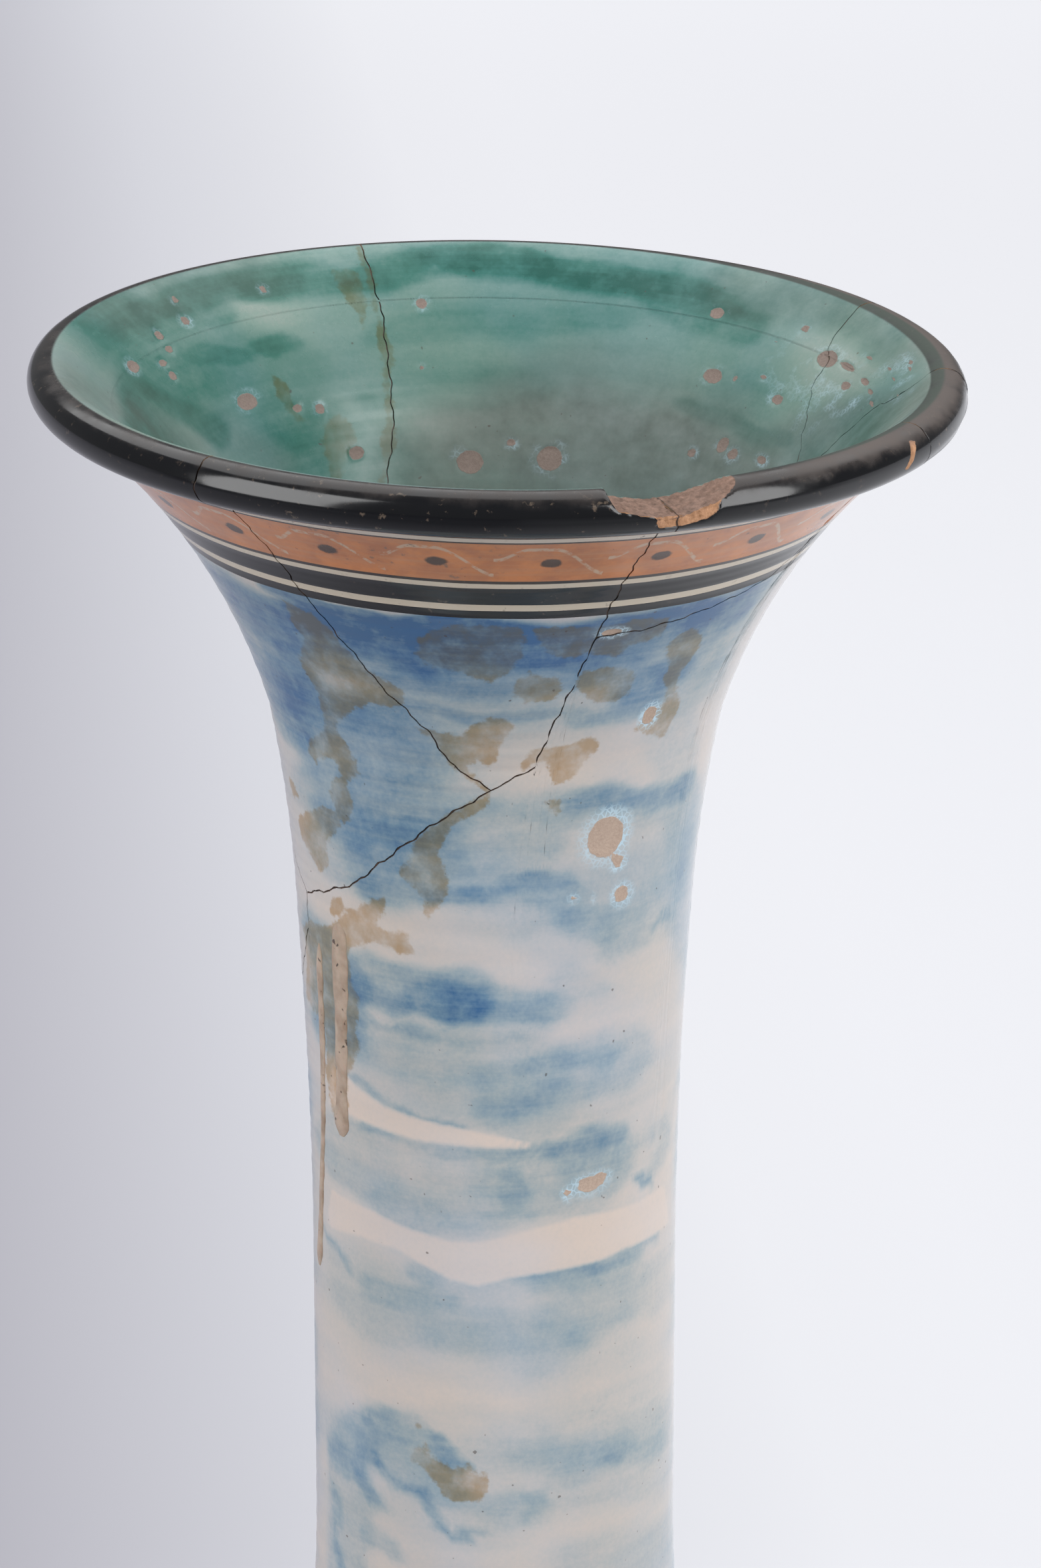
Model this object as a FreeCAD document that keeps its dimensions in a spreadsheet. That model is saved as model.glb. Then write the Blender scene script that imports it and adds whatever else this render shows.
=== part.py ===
# Tall long-necked jar of tin-glazed earthenware with a trumpet mouth and a rolled lip.
#
# The jar was thrown and fired as one pot. Its mouth and neck were broken later and put
# together again, so the pot is now one large vessel and six sherds, each a piece of the
# same wall, held by thin films of glue along the breaks. Two runs of glue dried outside.
#
# Frame: origin in the middle of the foot ring's underside, +Z up, the front faces -Y.
# Millimetres. Angles go round the axis in degrees, 0 at the front and 90 at +X.
import FreeCAD, Part
import math
import os
import Sketcher
from FreeCAD import Vector

SIZES = {
    # Foot: a spreading hollow pedestal with a flat ring to stand on
    "foot_radius": 78.0,
    "foot_band": 6.0,
    "foot_ledge_radius": 70.2,
    "foot_ledge_rise": 4.0,
    "foot_cove": 24.0,
    "recess_radius": 63.0,
    "recess_top_radius": 47.0,
    "recess_depth": 34.0,
    "waist_radius": 61.0,
    "waist_rise": 34.0,
    # Belly and shoulder
    "belly_low_radius": 104.0,
    "belly_low_rise": 66.0,
    "belly_low_curve": 215.0,
    "belly_radius": 140.0,
    "belly_rise": 119.0,
    "belly_high_curve": 81.0,
    "shoulder_radius": 86.5,
    "shoulder_rise": 76.0,
    "shoulder_curve": 60.0,
    # Neck, from its root to where it starts to flare
    "neck_root_radius": 47.5,
    "neck_root_rise": 49.0,
    "neck_root_curve": 450.0,
    "neck_radius": 44.3,
    "neck_foot_rise": 56.0,
    "neck_straight": 74.0,
    # Trumpet mouth in three sweeps, each tighter than the one below it
    "throat_radius": 47.3,
    "throat_rise": 80.0,
    "throat_curve": 1400.0,
    "flare_radius": 53.9,
    "flare_rise": 52.0,
    "flare_curve": 350.0,
    "rim_radius": 104.2,
    "rim_rise": 78.0,
    "rim_curve": 155.0,
    "roll_radius": 5.5,
    # Wall and floor
    "wall": 7.0,
    "floor": 9.0,
    "floor_radius": 40.0,
    # Glue, chips and cutting
    "glue_gap": 0.4,
    "cut_overrun": 8.0,
    "run_depth": 0.9,
    "run_root": 1.5,
    "long_run_width": 3.2,
    "short_run_width": 6.5,
    "chip_length": 19.0,
    "chip_height": 15.0,
    "chip_depth": 9.0,
    "nick_length": 17.0,
    "nick_height": 9.0,
    "nick_depth": 6.0,
}

# The lip's roll meets the wall at two points of its circle, below outside and above inside
ROLL_UNDER_SHARES = (0.53, 0.845)
ROLL_TOUCH_SHARES = (0.63, 0.777)
# How far the inner face stands in from the outer one, in walls: across, and up or down
FLARE_INSET_SHARE = 1.03
SHOULDER_INSET_SHARES = (0.34, 0.94)
BELLY_LOW_INSET_SHARES = (0.84, 0.54)

# Places where breaks meet, as (angle, share of the trumpet's height down from the lip)
JOIN_FRONT_SHARES = (-1.0, 0.394)
JOIN_RIGHT_SHARES = (18.7, 0.192)
JOIN_LEFT_SHARES = (-68.0, 0.577)
JOIN_SIDE_SHARES = (98.0, 0.140)
JOIN_BACK_LEFT_SHARES = (-150.0, 0.300)
JOIN_BACK_LOW_SHARES = (-155.0, 0.385)

# Breaks from the lip downwards, as (angle at the lip, places below it)
LIP_BREAK_SHARES = {
    "glue_front_left": (-37.4, [(-37.4, 0.070), (-35.5, 0.155), (-31.5, 0.210), (-25.0, 0.270),
                                (-15.2, 0.325), (-11.0, 0.362), JOIN_FRONT_SHARES]),
    "glue_front_right": (21.6, [(21.2, 0.060), (19.9, 0.130), JOIN_RIGHT_SHARES, (16.6, 0.257),
                                (12.3, 0.325), (9.8, 0.365), (5.5, 0.377), JOIN_FRONT_SHARES]),
    "glue_right": (63.5, [(63.5, 0.060), (62.5, 0.125), (57.0, 0.158), (48.6, 0.169),
                          (37.0, 0.182), (27.0, 0.190), JOIN_RIGHT_SHARES]),
    "glue_side": (89.0, [(92.5, 0.025), (94.7, 0.060), (96.5, 0.095), JOIN_SIDE_SHARES]),
    "glue_back_right": (121.0, [(119.0, 0.025), (116.5, 0.055), (109.0, 0.095),
                                JOIN_SIDE_SHARES]),
    "glue_back_left": (-160.7, [(-161.0, 0.030), (-159.5, 0.100), (-158.0, 0.150), (-154.0, 0.200),
                                (-151.5, 0.250), JOIN_BACK_LEFT_SHARES, JOIN_BACK_LOW_SHARES]),
}
# Breaks that run round the neck between two joins
NECK_BREAK_SHARES = {
    "glue_lower_left": [JOIN_FRONT_SHARES, (-15.0, 0.437), (-30.0, 0.491), (-42.3, 0.535),
                        (-54.0, 0.556), JOIN_LEFT_SHARES],
    "glue_left_side": [JOIN_LEFT_SHARES, (-84.0, 0.530), (-103.0, 0.460), (-128.0, 0.370),
                       JOIN_BACK_LEFT_SHARES],
    "glue_back": [JOIN_BACK_LOW_SHARES, (-170.0, 0.455), (-184.0, 0.490), (-208.0, 0.420),
                  (-230.0, 0.330), (-248.0, 0.235), (-262.0, 0.140)],
    "glue_neck_left": [JOIN_LEFT_SHARES, (-68.8, 0.620), (-76.0, 0.668), (-92.0, 0.740),
                       (-108.0, 0.800), (-124.0, 0.700), (-144.0, 0.520), JOIN_BACK_LOW_SHARES],
}
# A place on each piece of the wall, which tells the pieces apart once the breaks are cut
PIECE_SHARES = {
    "vessel": (0.0, 1.200),
    "sherd_front": (0.0, 0.150),
    "sherd_left": (-80.0, 0.250),
    "sherd_neck_left": (-108.0, 0.600),
    "sherd_back": (170.0, 0.250),
    "sherd_side": (105.0, 0.050),
    "sherd_right": (45.0, 0.100),
}
# Glue runs down the neck, as (angle, share of the trumpet's height, share of the run's width)
RUN_SHARES = {
    "glue_run_long": [(-61.5, 0.630, 0.5), (-62.2, 0.660, 1.0), (-63.5, 0.760, 0.9),
                      (-66.0, 0.860, 0.8), (-70.0, 0.960, 0.9), (-72.6, 1.030, 1.2),
                      (-73.4, 1.052, 0.6)],
    "glue_run_short": [(-50.0, 0.590, 0.6), (-50.5, 0.620, 1.0), (-51.5, 0.700, 0.8),
                       (-53.0, 0.790, 0.7), (-53.9, 0.845, 0.9), (-54.1, 0.862, 0.4)],
}
RUN_WIDTHS = {"glue_run_long": "long_run_width", "glue_run_short": "short_run_width"}
# Each half of a run's section, as (share of the half width, share of the depth)
RUN_SECTION_SHARES = [(1.0, 0.0), (0.75, 0.7), (0.0, 1.0), (-0.75, 0.7), (-1.0, 0.0)]
# Chips out of the lip's roll: (angle, share of the roll out from its centre, share below it)
CHIP_SHARES = {"rim_chip": (23.8, 1.25, 0.20), "rim_nick": (15.8, 1.05, -0.35)}
# How far a break's cut runs past the join where it ends, in glue gaps
JOIN_OVERRUN_SHARE = 0.6

document = FreeCAD.newDocument("long_necked_jar")


def fill_sheet():
    """The driving dimensions, one a row, each with its name as the alias of its cell."""
    sheet = document.addObject("Spreadsheet::Sheet", "sizes")
    for row, (name, value) in enumerate(SIZES.items(), start=1):
        sheet.set(f"A{row}", name)
        sheet.set(f"B{row}", str(value))
        sheet.setAlias(f"B{row}", name)
    document.recompute()
    return sheet


sizes = fill_sheet()


def size(expression):
    """The value of an expression written in the sheet's names."""
    return float(sizes.evalExpression(expression))


def stack(*names):
    """An expression for the height on top of the named rises."""
    return " + ".join(names)


# Heights of the outline's corners, each on top of the one below
LEDGE = stack("foot_band", "foot_ledge_rise")
WAIST = stack(LEDGE, "waist_rise")
BELLY_LOW = stack(WAIST, "belly_low_rise")
BELLY = stack(BELLY_LOW, "belly_rise")
SHOULDER = stack(BELLY, "shoulder_rise")
NECK_ROOT = stack(SHOULDER, "neck_root_rise")
NECK_FOOT = stack(NECK_ROOT, "neck_foot_rise")
NECK_TOP = stack(NECK_FOOT, "neck_straight")
THROAT = stack(NECK_TOP, "throat_rise")
FLARE = stack(THROAT, "flare_rise")
RIM = stack(FLARE, "rim_rise")
TRUMPET = stack("throat_rise", "flare_rise", "rim_rise")
FLOOR = stack("recess_depth", "floor")

LEFT = 1
RIGHT = -1


def jar_outline():
    """Corners of the half section: (radius, height, radius of the arc to the next, its centre's side).

    It goes up the outside from the foot, round the roll of the lip and down the inside.
    """
    across, along = ROLL_UNDER_SHARES
    in_across, in_along = ROLL_TOUCH_SHARES
    shoulder_in, shoulder_down = SHOULDER_INSET_SHARES
    belly_in, belly_up = BELLY_LOW_INSET_SHARES
    return [
        ("0", "recess_depth", None, None),
        ("recess_top_radius", "recess_depth", None, None),
        ("recess_radius", "0", None, None),
        ("foot_radius", "0", None, None),
        ("foot_radius", "foot_band", None, None),
        ("foot_ledge_radius", LEDGE, "foot_cove", RIGHT),
        ("waist_radius", WAIST, None, None),
        ("belly_low_radius", BELLY_LOW, "belly_low_curve", LEFT),
        ("belly_radius", BELLY, "belly_high_curve", LEFT),
        ("shoulder_radius", SHOULDER, "shoulder_curve", RIGHT),
        ("neck_root_radius", NECK_ROOT, "neck_root_curve", RIGHT),
        ("neck_radius", NECK_FOOT, None, None),
        ("neck_radius", NECK_TOP, "throat_curve", RIGHT),
        ("throat_radius", THROAT, "flare_curve", RIGHT),
        ("flare_radius", FLARE, "rim_curve", RIGHT),
        (f"rim_radius - {across} * roll_radius", f"{RIM} - {along} * roll_radius",
         "roll_radius", LEFT),
        ("rim_radius + roll_radius", RIM, "roll_radius", LEFT),
        (f"rim_radius - {in_across} * roll_radius", f"{RIM} + {in_along} * roll_radius",
         "rim_curve + wall", LEFT),
        (f"flare_radius - {FLARE_INSET_SHARE} * wall", FLARE, "flare_curve + wall", LEFT),
        ("throat_radius - wall", THROAT, "throat_curve + wall", LEFT),
        ("neck_radius - wall", NECK_TOP, None, None),
        ("neck_radius - wall", NECK_FOOT, "neck_root_curve + wall", LEFT),
        ("neck_root_radius - wall", NECK_ROOT, "shoulder_curve + wall", LEFT),
        (f"shoulder_radius - {shoulder_in} * wall", f"{SHOULDER} - {shoulder_down} * wall",
         "belly_high_curve - wall", RIGHT),
        ("belly_radius - wall", BELLY, "belly_low_curve - wall", RIGHT),
        (f"belly_low_radius - {belly_in} * wall", f"{BELLY_LOW} + {belly_up} * wall",
         None, None),
        ("floor_radius", FLOOR, None, None),
        ("0", FLOOR, None, None),
    ]


def arc_between(start, end, radius, side):
    """The arc of a radius between two points, its centre left or right of the way along."""
    way = end - start
    left = Vector(-way.y, way.x, 0).normalize()
    reach = math.sqrt(radius ** 2 - (way.Length / 2) ** 2)
    centre = (start + end) / 2 + left * (side * reach)
    first, last = (start, end) if side == LEFT else (end, start)
    turn = [math.atan2((point - centre).y, (point - centre).x) for point in (first, last)]
    circle = Part.Circle(centre, Vector(0, 0, 1), radius)
    return Part.ArcOfCircle(circle, turn[0], turn[1])


def pin_corner(sketch, edge, end, across, up):
    """Holds one end of an edge at two expressions; zero puts it on the sketch's own axis."""
    for kind, axis, expression in (("DistanceX", -2, across), ("DistanceY", -1, up)):
        if expression == "0":
            sketch.addConstraint(Sketcher.Constraint("PointOnObject", edge, end, axis))
            continue
        value = size(expression)
        number = sketch.addConstraint(Sketcher.Constraint(kind, -1, 1, edge, end, value))
        sketch.setExpression(f"Constraints[{number}]", on_sheet(expression))


def on_sheet(expression):
    """The same expression, with each of the sheet's names written as sizes.NAME."""
    words = expression.replace("(", " ( ").replace(")", " ) ").split()
    return " ".join(f"sizes.{word}" if word in SIZES else word for word in words)


def draw_outline(sketch, corners):
    """A closed outline through the corners, fully held by the sheet's sizes."""
    points = [Vector(size(across), size(up), 0) for across, up, _, _ in corners]
    ends = []
    for place, (_, _, curve, side) in enumerate(corners):
        start, end = points[place], points[(place + 1) % len(points)]
        if curve is None:
            edge = sketch.addGeometry(Part.LineSegment(start, end), False)
        else:
            edge = sketch.addGeometry(arc_between(start, end, size(curve), side), False)
            number = sketch.addConstraint(Sketcher.Constraint("Radius", edge, size(curve)))
            sketch.setExpression(f"Constraints[{number}]", on_sheet(curve))
        ends.append((edge, 2, 1) if side == RIGHT else (edge, 1, 2))
    for place, (across, up, _, _) in enumerate(corners):
        edge, first, _ = ends[place]
        before, _, last = ends[place - 1]
        sketch.addConstraint(Sketcher.Constraint("Coincident", before, last, edge, first))
        pin_corner(sketch, edge, first, across, up)


def thrown_jar():
    """The whole pot as it left the kiln: its half section turned round the axis, and that section."""
    body = document.addObject("PartDesign::Body", "thrown_jar")
    sketch = body.newObject("Sketcher::SketchObject", "jar_half_section")
    plane = [part for part in body.Origin.OriginFeatures if part.Role == "XZ_Plane"][0]
    sketch.AttachmentSupport = (plane, [""])
    sketch.MapMode = "FlatFace"
    draw_outline(sketch, jar_outline())
    turned = body.newObject("PartDesign::Revolution", "jar_turned")
    turned.Profile = sketch
    turned.ReferenceAxis = (sketch, ["V_Axis"])
    turned.Angle = 360
    document.recompute()
    return body, Part.Face(sketch.Shape.Wires[0])


def chip_tool(name, prefix):
    """An egg-shaped bite out of the roll of the lip, its long way along the lip."""
    angle, out_share, down_share = CHIP_SHARES[name]
    egg = document.addObject("Part::Ellipsoid", name)
    egg.setExpression("Radius1", f"sizes.{prefix}_height / 2")
    egg.setExpression("Radius2", f"sizes.{prefix}_length / 2")
    egg.setExpression("Radius3", f"sizes.{prefix}_depth / 2")
    out = size(f"rim_radius + {out_share} * roll_radius")
    height = size(f"{RIM} - {down_share} * roll_radius")
    egg.Placement = FreeCAD.Placement(on_jar(out, angle, height),
                                      FreeCAD.Rotation(Vector(0, 0, 1), angle))
    return egg


def on_jar(radius, angle, height):
    """The point at a radius, an angle round from the front and a height."""
    turn = math.radians(angle)
    return Vector(radius * math.sin(turn), -radius * math.cos(turn), height)


def wall_span(section, height):
    """The inner and outer radius of the wall at a height; above the lip, the lip's own."""
    reach = size("rim_radius + roll_radius + cut_overrun")
    level = Part.makeLine(Vector(0, 0, height), Vector(reach, 0, height))
    radii = [corner.Point.x for corner in section.common(level).Vertexes]
    if not radii:
        return size("rim_radius - roll_radius"), size("rim_radius + roll_radius")
    return min(radii), max(radii)


def drop(share):
    """The height at a share of the trumpet's height below the middle of the lip."""
    return size(RIM) - share * size(TRUMPET)


def skin_over(rings):
    """A closed solid of flat triangles over rings that each have as many points.

    The two halves of a ring are split the opposite way, so that facing sides fold alike.
    """
    triangles = []
    count = len(rings[0])
    for ring, following in zip(rings, rings[1:]):
        for place in range(count):
            after = (place + 1) % count
            if place < count / 2:
                triangles.append((ring[place], ring[after], following[after]))
                triangles.append((ring[place], following[after], following[place]))
            else:
                triangles.append((ring[place], ring[after], following[place]))
                triangles.append((ring[after], following[after], following[place]))
    for ring in (rings[0], rings[-1]):
        triangles += [(ring[0], ring[place], ring[place + 1]) for place in range(1, count - 1)]
    faces = [Part.Face(Part.makePolygon([*corners, corners[0]])) for corners in triangles]
    shell = Part.Shell(faces)
    shell.sewShape()
    solid = Part.Solid(shell)
    if solid.Volume < 0:
        solid.reverse()
    return solid


def unit(across, up):
    """A direction of length one."""
    length = math.hypot(across, up)
    return across / length, up / length


def break_slab(section, places):
    """A thin slab through the wall along a break, half the glue gap to each side of it."""
    half = size("glue_gap") / 2
    overrun = size("cut_overrun")
    spans = [wall_span(section, height) for _, height in places]
    middles = [sum(span) / 2 for span in spans]
    ways = [unit(math.radians(b[0] - a[0]) * (near + far) / 2, b[1] - a[1])
            for a, b, near, far in zip(places, places[1:], middles, middles[1:])]
    rings = []
    for place, ((angle, height), (inner, outer)) in enumerate(zip(places, spans)):
        before = ways[max(place - 1, 0)]
        after = ways[min(place, len(ways) - 1)]
        way = unit(before[0] + after[0], before[1] + after[1])
        miter = half / (way[0] * after[0] + way[1] * after[1])
        past = 0.0
        if place == 0:
            past = -JOIN_OVERRUN_SHARE * size("glue_gap")
        if place == len(places) - 1:
            past = JOIN_OVERRUN_SHARE * size("glue_gap")
        ring = []
        for side, depth in ((-1, -1), (-1, 1), (1, 1), (1, -1)):
            across = past * way[0] - side * miter * way[1]
            up = past * way[1] + side * miter * way[0]
            turn = angle + math.degrees(across / ((inner + outer) / 2))
            radius = (inner - overrun) if depth < 0 else (outer + overrun)
            ring.append(on_jar(radius, turn, height + up))
        rings.append(ring)
    return skin_over(rings)


def break_places(name):
    """The (angle, height) places of a break; one from the lip starts clear above it."""
    if name in NECK_BREAK_SHARES:
        return [(angle, drop(share)) for angle, share in NECK_BREAK_SHARES[name]]
    lip_angle, below = LIP_BREAK_SHARES[name]
    top = size(f"{RIM} + roll_radius + cut_overrun")
    over_lip = [(lip_angle, top), (lip_angle, size(RIM))]
    return over_lip + [(angle, drop(share)) for angle, share in below]


def plain_feature(name, shape):
    """A document object that holds a shape worked out here."""
    feature = document.addObject("Part::Feature", name)
    feature.Shape = shape
    feature.Placement = FreeCAD.Placement()
    return feature


def glue_run(pot, section, name):
    """A run of glue: a flattened bead down the neck, its back cut to the wall behind it."""
    width = size(RUN_WIDTHS[name])
    rings = []
    for angle, share, width_share in RUN_SHARES[name]:
        height = drop(share)
        _, outer = wall_span(section, height)
        half_turn = math.degrees(width * width_share / 2 / outer)
        ring = []
        for across, depth_share in RUN_SECTION_SHARES:
            radius = outer + depth_share * width_share * size("run_depth")
            ring.append(on_jar(radius, angle + across * half_turn, height))
        root = outer - size("run_root")
        ring.append(on_jar(root, angle - half_turn, height))
        ring.append(on_jar(root, angle + half_turn, height))
        rings.append(ring)
    return skin_over(rings).cut(pot)


def check_document():
    """Stops if any object failed, so that nothing broken is written."""
    document.recompute()
    failed = [thing.Name for thing in document.Objects
              if "Invalid" in thing.State or "Error" in thing.State]
    if failed:
        raise RuntimeError(f"these objects failed: {failed}")


def write_parts(parts):
    """Writes each sub-part to its own file, once all of them are sound."""
    check_document()
    for part in parts:
        if part.Shape.isNull() or not part.Shape.isValid():
            raise RuntimeError(f"{part.Label} has no sound shape")
    os.makedirs("parts", exist_ok=True)
    for part in parts:
        part.Shape.exportStep(f"parts/{part.Label}.step")
        box = part.Shape.optimalBoundingBox(False)
        print(f"{part.Label}: {len(part.Shape.Solids)} solid, {part.Shape.Volume:.1f} mm3, "
              f"z {box.ZMin:.1f} to {box.ZMax:.1f}")


def build():
    """Throws the jar, chips its lip, breaks it, and lays glue in the breaks."""
    whole, section = thrown_jar()
    chips = document.addObject("Part::MultiFuse", "lip_chips")
    chips.Shapes = [chip_tool("rim_chip", "chip"), chip_tool("rim_nick", "nick")]
    chipped = document.addObject("Part::Cut", "chipped_jar")
    chipped.Base = whole
    chipped.Tool = chips
    check_document()
    pot = whole.Shape

    slabs = {}
    for name in [*LIP_BREAK_SHARES, *NECK_BREAK_SHARES]:
        slabs[name] = plain_feature(f"{name}_break", break_slab(section, break_places(name)))
    breaks = document.addObject("Part::MultiFuse", "all_breaks")
    breaks.Shapes = list(slabs.values())
    broken = document.addObject("Part::Cut", "broken_jar")
    broken.Base = chipped
    broken.Tool = breaks
    check_document()

    pieces = broken.Shape.Solids
    if len(pieces) != len(PIECE_SHARES):
        raise RuntimeError(f"the breaks left {len(pieces)} pieces of the wall")
    parts = []
    for name, (angle, share) in PIECE_SHARES.items():
        height = drop(share)
        place = on_jar(sum(wall_span(section, height)) / 2, angle, height)
        held = [piece for piece in pieces if piece.isInside(place, 1e-6, False)]
        if len(held) != 1:
            raise RuntimeError(f"no single piece of the wall at {name}")
        parts.append(plain_feature(name, held[0]))

    laid = []
    for name, slab in slabs.items():
        film = chipped.Shape.common(slab.Shape)
        if laid:
            film = film.cut(laid)
        film = max(film.Solids, key=lambda solid: solid.Volume)
        laid.append(slab.Shape)
        parts.append(plain_feature(name, film))
    for name in RUN_SHARES:
        parts.append(plain_feature(name, glue_run(pot, section, name)))
    write_parts(parts)


build()
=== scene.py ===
# %% [markdown]
# # A long-necked jar, broken and glued together again
# The jar was thrown on a wheel, dipped in white tin glaze, painted with metal oxides and
# fired once more, so that the paint sank into the glaze. Later its mouth broke. Somebody
# glued the sherds back, and the glue has yellowed and run down the neck.
#
# Nearly everything on it goes round an axis, so every surface here is a function of two
# parameters: the angle round the jar and the distance along its section. The paint uses
# the same two parameters, and so the brush marks run on from one sherd to the next.

import bmesh
import bpy
import numpy as np
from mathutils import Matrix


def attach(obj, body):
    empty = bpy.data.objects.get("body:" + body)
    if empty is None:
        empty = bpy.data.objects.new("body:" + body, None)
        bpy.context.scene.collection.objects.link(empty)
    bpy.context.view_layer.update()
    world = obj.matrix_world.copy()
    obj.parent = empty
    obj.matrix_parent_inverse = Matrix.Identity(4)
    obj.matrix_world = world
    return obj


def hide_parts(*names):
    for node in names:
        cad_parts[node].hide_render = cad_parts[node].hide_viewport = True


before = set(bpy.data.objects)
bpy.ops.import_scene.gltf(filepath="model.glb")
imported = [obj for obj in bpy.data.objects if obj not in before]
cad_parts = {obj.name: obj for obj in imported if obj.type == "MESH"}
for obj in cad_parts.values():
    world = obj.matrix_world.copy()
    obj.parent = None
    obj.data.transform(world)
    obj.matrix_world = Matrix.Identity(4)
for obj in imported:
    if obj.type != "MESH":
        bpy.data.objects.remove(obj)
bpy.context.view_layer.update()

MM = 0.001
print("pieces of the jar:", ", ".join(sorted(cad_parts)))

# %% [markdown]
# ## The section of the pot
# A potter thinks of a pot as one outline turned round the wheel's axis. The outline could
# be a spline through many points, but a thrown wall is a few long sweeps, so each sweep is
# one arc between two corners, as a template for the potter's rib would be cut. It goes up
# the outside from the foot, round the roll of the lip and down the inside. A thrown edge
# is never sharp, so the corners are rounded a little afterwards.

# %% The outline as arcs between corners, in millimetres
LEFT, RIGHT = 1, -1
WALL = 7.0
ROLL = 5.5
LIP_RADIUS = 104.2
LIP_HEIGHT = 694.0
OUTLINE = [
    # radius, height, radius of the arc to the next corner, side on which its centre lies
    (0, 34, None, None),
    (47, 34, None, None),
    (63, 0, None, None),
    (78, 0, None, None),
    (78, 6, None, None),
    (70.2, 10, 24, RIGHT),
    (61, 44, None, None),
    (104, 110, 215, LEFT),
    (140, 229, 81, LEFT),
    (86.5, 305, 60, RIGHT),
    (47.5, 354, 450, RIGHT),
    (44.3, 410, None, None),
    (44.3, 484, 1400, RIGHT),
    (47.3, 564, 350, RIGHT),
    (53.9, 616, 155, RIGHT),
    (LIP_RADIUS - 0.53 * ROLL, LIP_HEIGHT - 0.845 * ROLL, ROLL, LEFT),
    (LIP_RADIUS + ROLL, LIP_HEIGHT, ROLL, LEFT),
    (LIP_RADIUS - 0.63 * ROLL, LIP_HEIGHT + 0.777 * ROLL, 155 + WALL, LEFT),
    (53.9 - 1.03 * WALL, 616, 350 + WALL, LEFT),
    (47.3 - WALL, 564, 1400 + WALL, LEFT),
    (44.3 - WALL, 484, None, None),
    (44.3 - WALL, 410, 450 + WALL, LEFT),
    (47.5 - WALL, 354, 60 + WALL, LEFT),
    (86.5 - 0.34 * WALL, 305 - 0.94 * WALL, 81 - WALL, RIGHT),
    (140 - WALL, 229, 215 - WALL, RIGHT),
    (104 - 0.84 * WALL, 110 + 0.54 * WALL, None, None),
    (40, 43, None, None),
    (0, 43, None, None),
]
OUTLINE_STEP = 0.4
ROUNDING_STEPS = 7


def sweep(start, end, radius, side):
    """Points from start almost to end, on a straight line or on an arc.

    The arc's centre lies beside the middle of the chord, at the distance that makes the
    radius right, and the points turn about it by twice the arcsine of half the chord over
    the radius.
    """
    start = np.array(start, float)
    chord = np.array(end, float) - start
    length = np.hypot(*chord)
    share = np.linspace(0, 1, max(3, int(length / OUTLINE_STEP)), endpoint=False)[:, None]
    if radius is None:
        return start + share * chord
    beside = np.array([-chord[1], chord[0]]) / length * side
    centre = start + chord / 2 + beside * np.sqrt(radius**2 - (length / 2) ** 2)
    spoke = start - centre
    turn = np.arctan2(spoke[1], spoke[0]) + side * 2 * np.arcsin(length / 2 / radius) * share
    return centre + radius * np.concatenate([np.cos(turn), np.sin(turn)], axis=1)


corners = [(corner[:2], after[:2], corner[2], corner[3]) for corner, after in zip(OUTLINE, OUTLINE[1:])]
section = np.concatenate([sweep(*corner) for corner in corners] + [np.array([OUTLINE[-1][:2]], float)])
edge = ROUNDING_STEPS // 2
padded = np.pad(section, ((edge, edge), (0, 0)), mode="edge")
section = np.stack([np.convolve(padded[:, axis], np.ones(ROUNDING_STEPS) / ROUNDING_STEPS, "valid")
                    for axis in (0, 1)], axis=1)
section[[0, -1], 0] = 0.0
print(f"the section has {len(section)} points, and its top is at {section[:, 1].max():.1f} mm")

# %% [markdown]
# ## Two parameters for every point of the wall
# The crest of the lip parts the section into an outside and an inside. On each, a place
# is an angle round the axis and a distance from the crest, `along`, which is positive
# outside and negative inside. Paint needs a map on which a circle stays round, and on a
# surface of revolution that map is easy: angle across, and the sum of distance over
# radius down. Lengths on the map are then true lengths over the radius.

# %% Each side of the wall as a chain from the crest down
CREST = int(np.argmax(section[:, 1]))
MAP_LEAST_RADIUS = 20.0


def chain(points):
    """One side of the section, with its distance from the crest and its place on the map."""
    runs = np.hypot(*np.diff(points, axis=0).T)
    radius = np.maximum(points[:, 0], MAP_LEAST_RADIUS)
    down = np.concatenate([[0], np.cumsum(runs)])
    mapped = np.concatenate([[0], np.cumsum(runs * 2 / (radius[1:] + radius[:-1]))])
    falls = int(np.argmin(points[:, 1].round(3))) + 1
    lowest = np.minimum.accumulate(points[:falls, 1]) - 1e-6 * np.arange(falls)
    return {"down": down, "radius": points[:, 0], "height": points[:, 1], "map": mapped,
            "falls": falls, "lowest": lowest}


OUTSIDE = chain(section[CREST::-1])
INSIDE = chain(section[CREST:])


def look_up(side, name, down):
    """The radius, height or map place of a side at distances from the crest."""
    return np.interp(down, side["down"], side[name])


def down_to(side, height):
    """The distance from the crest at which a side comes down to a height."""
    return np.interp(-np.asarray(height, float), -side["lowest"], side["down"][:side["falls"]])


for label, side in (("outside", OUTSIDE), ("inside", INSIDE)):
    print(f"{label}: {side['down'][-1]:.0f} mm from the crest to the axis, falls {side['falls']}")

# %% [markdown]
# ## The slump of the mouth
# In the kiln a wide mouth on a tall neck sinks a little to one side. Bending the finished
# meshes with a modifier would do, but the paint is placed by looking through the camera at
# the same surface, so the slump is a formula that can also be taken back.

# %% The slump, and its reverse
SLUMP_SLOPE = float(np.tan(np.radians(1.13)))
SLUMP_SHIFT = 1.1
SLUMP_START = 540.0


def smooth(share):
    """Goes from 0 to 1 and back to level: 3 s squared less 2 s cubed."""
    share = np.clip(share, 0, 1)
    return share * share * (3 - 2 * share)


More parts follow.
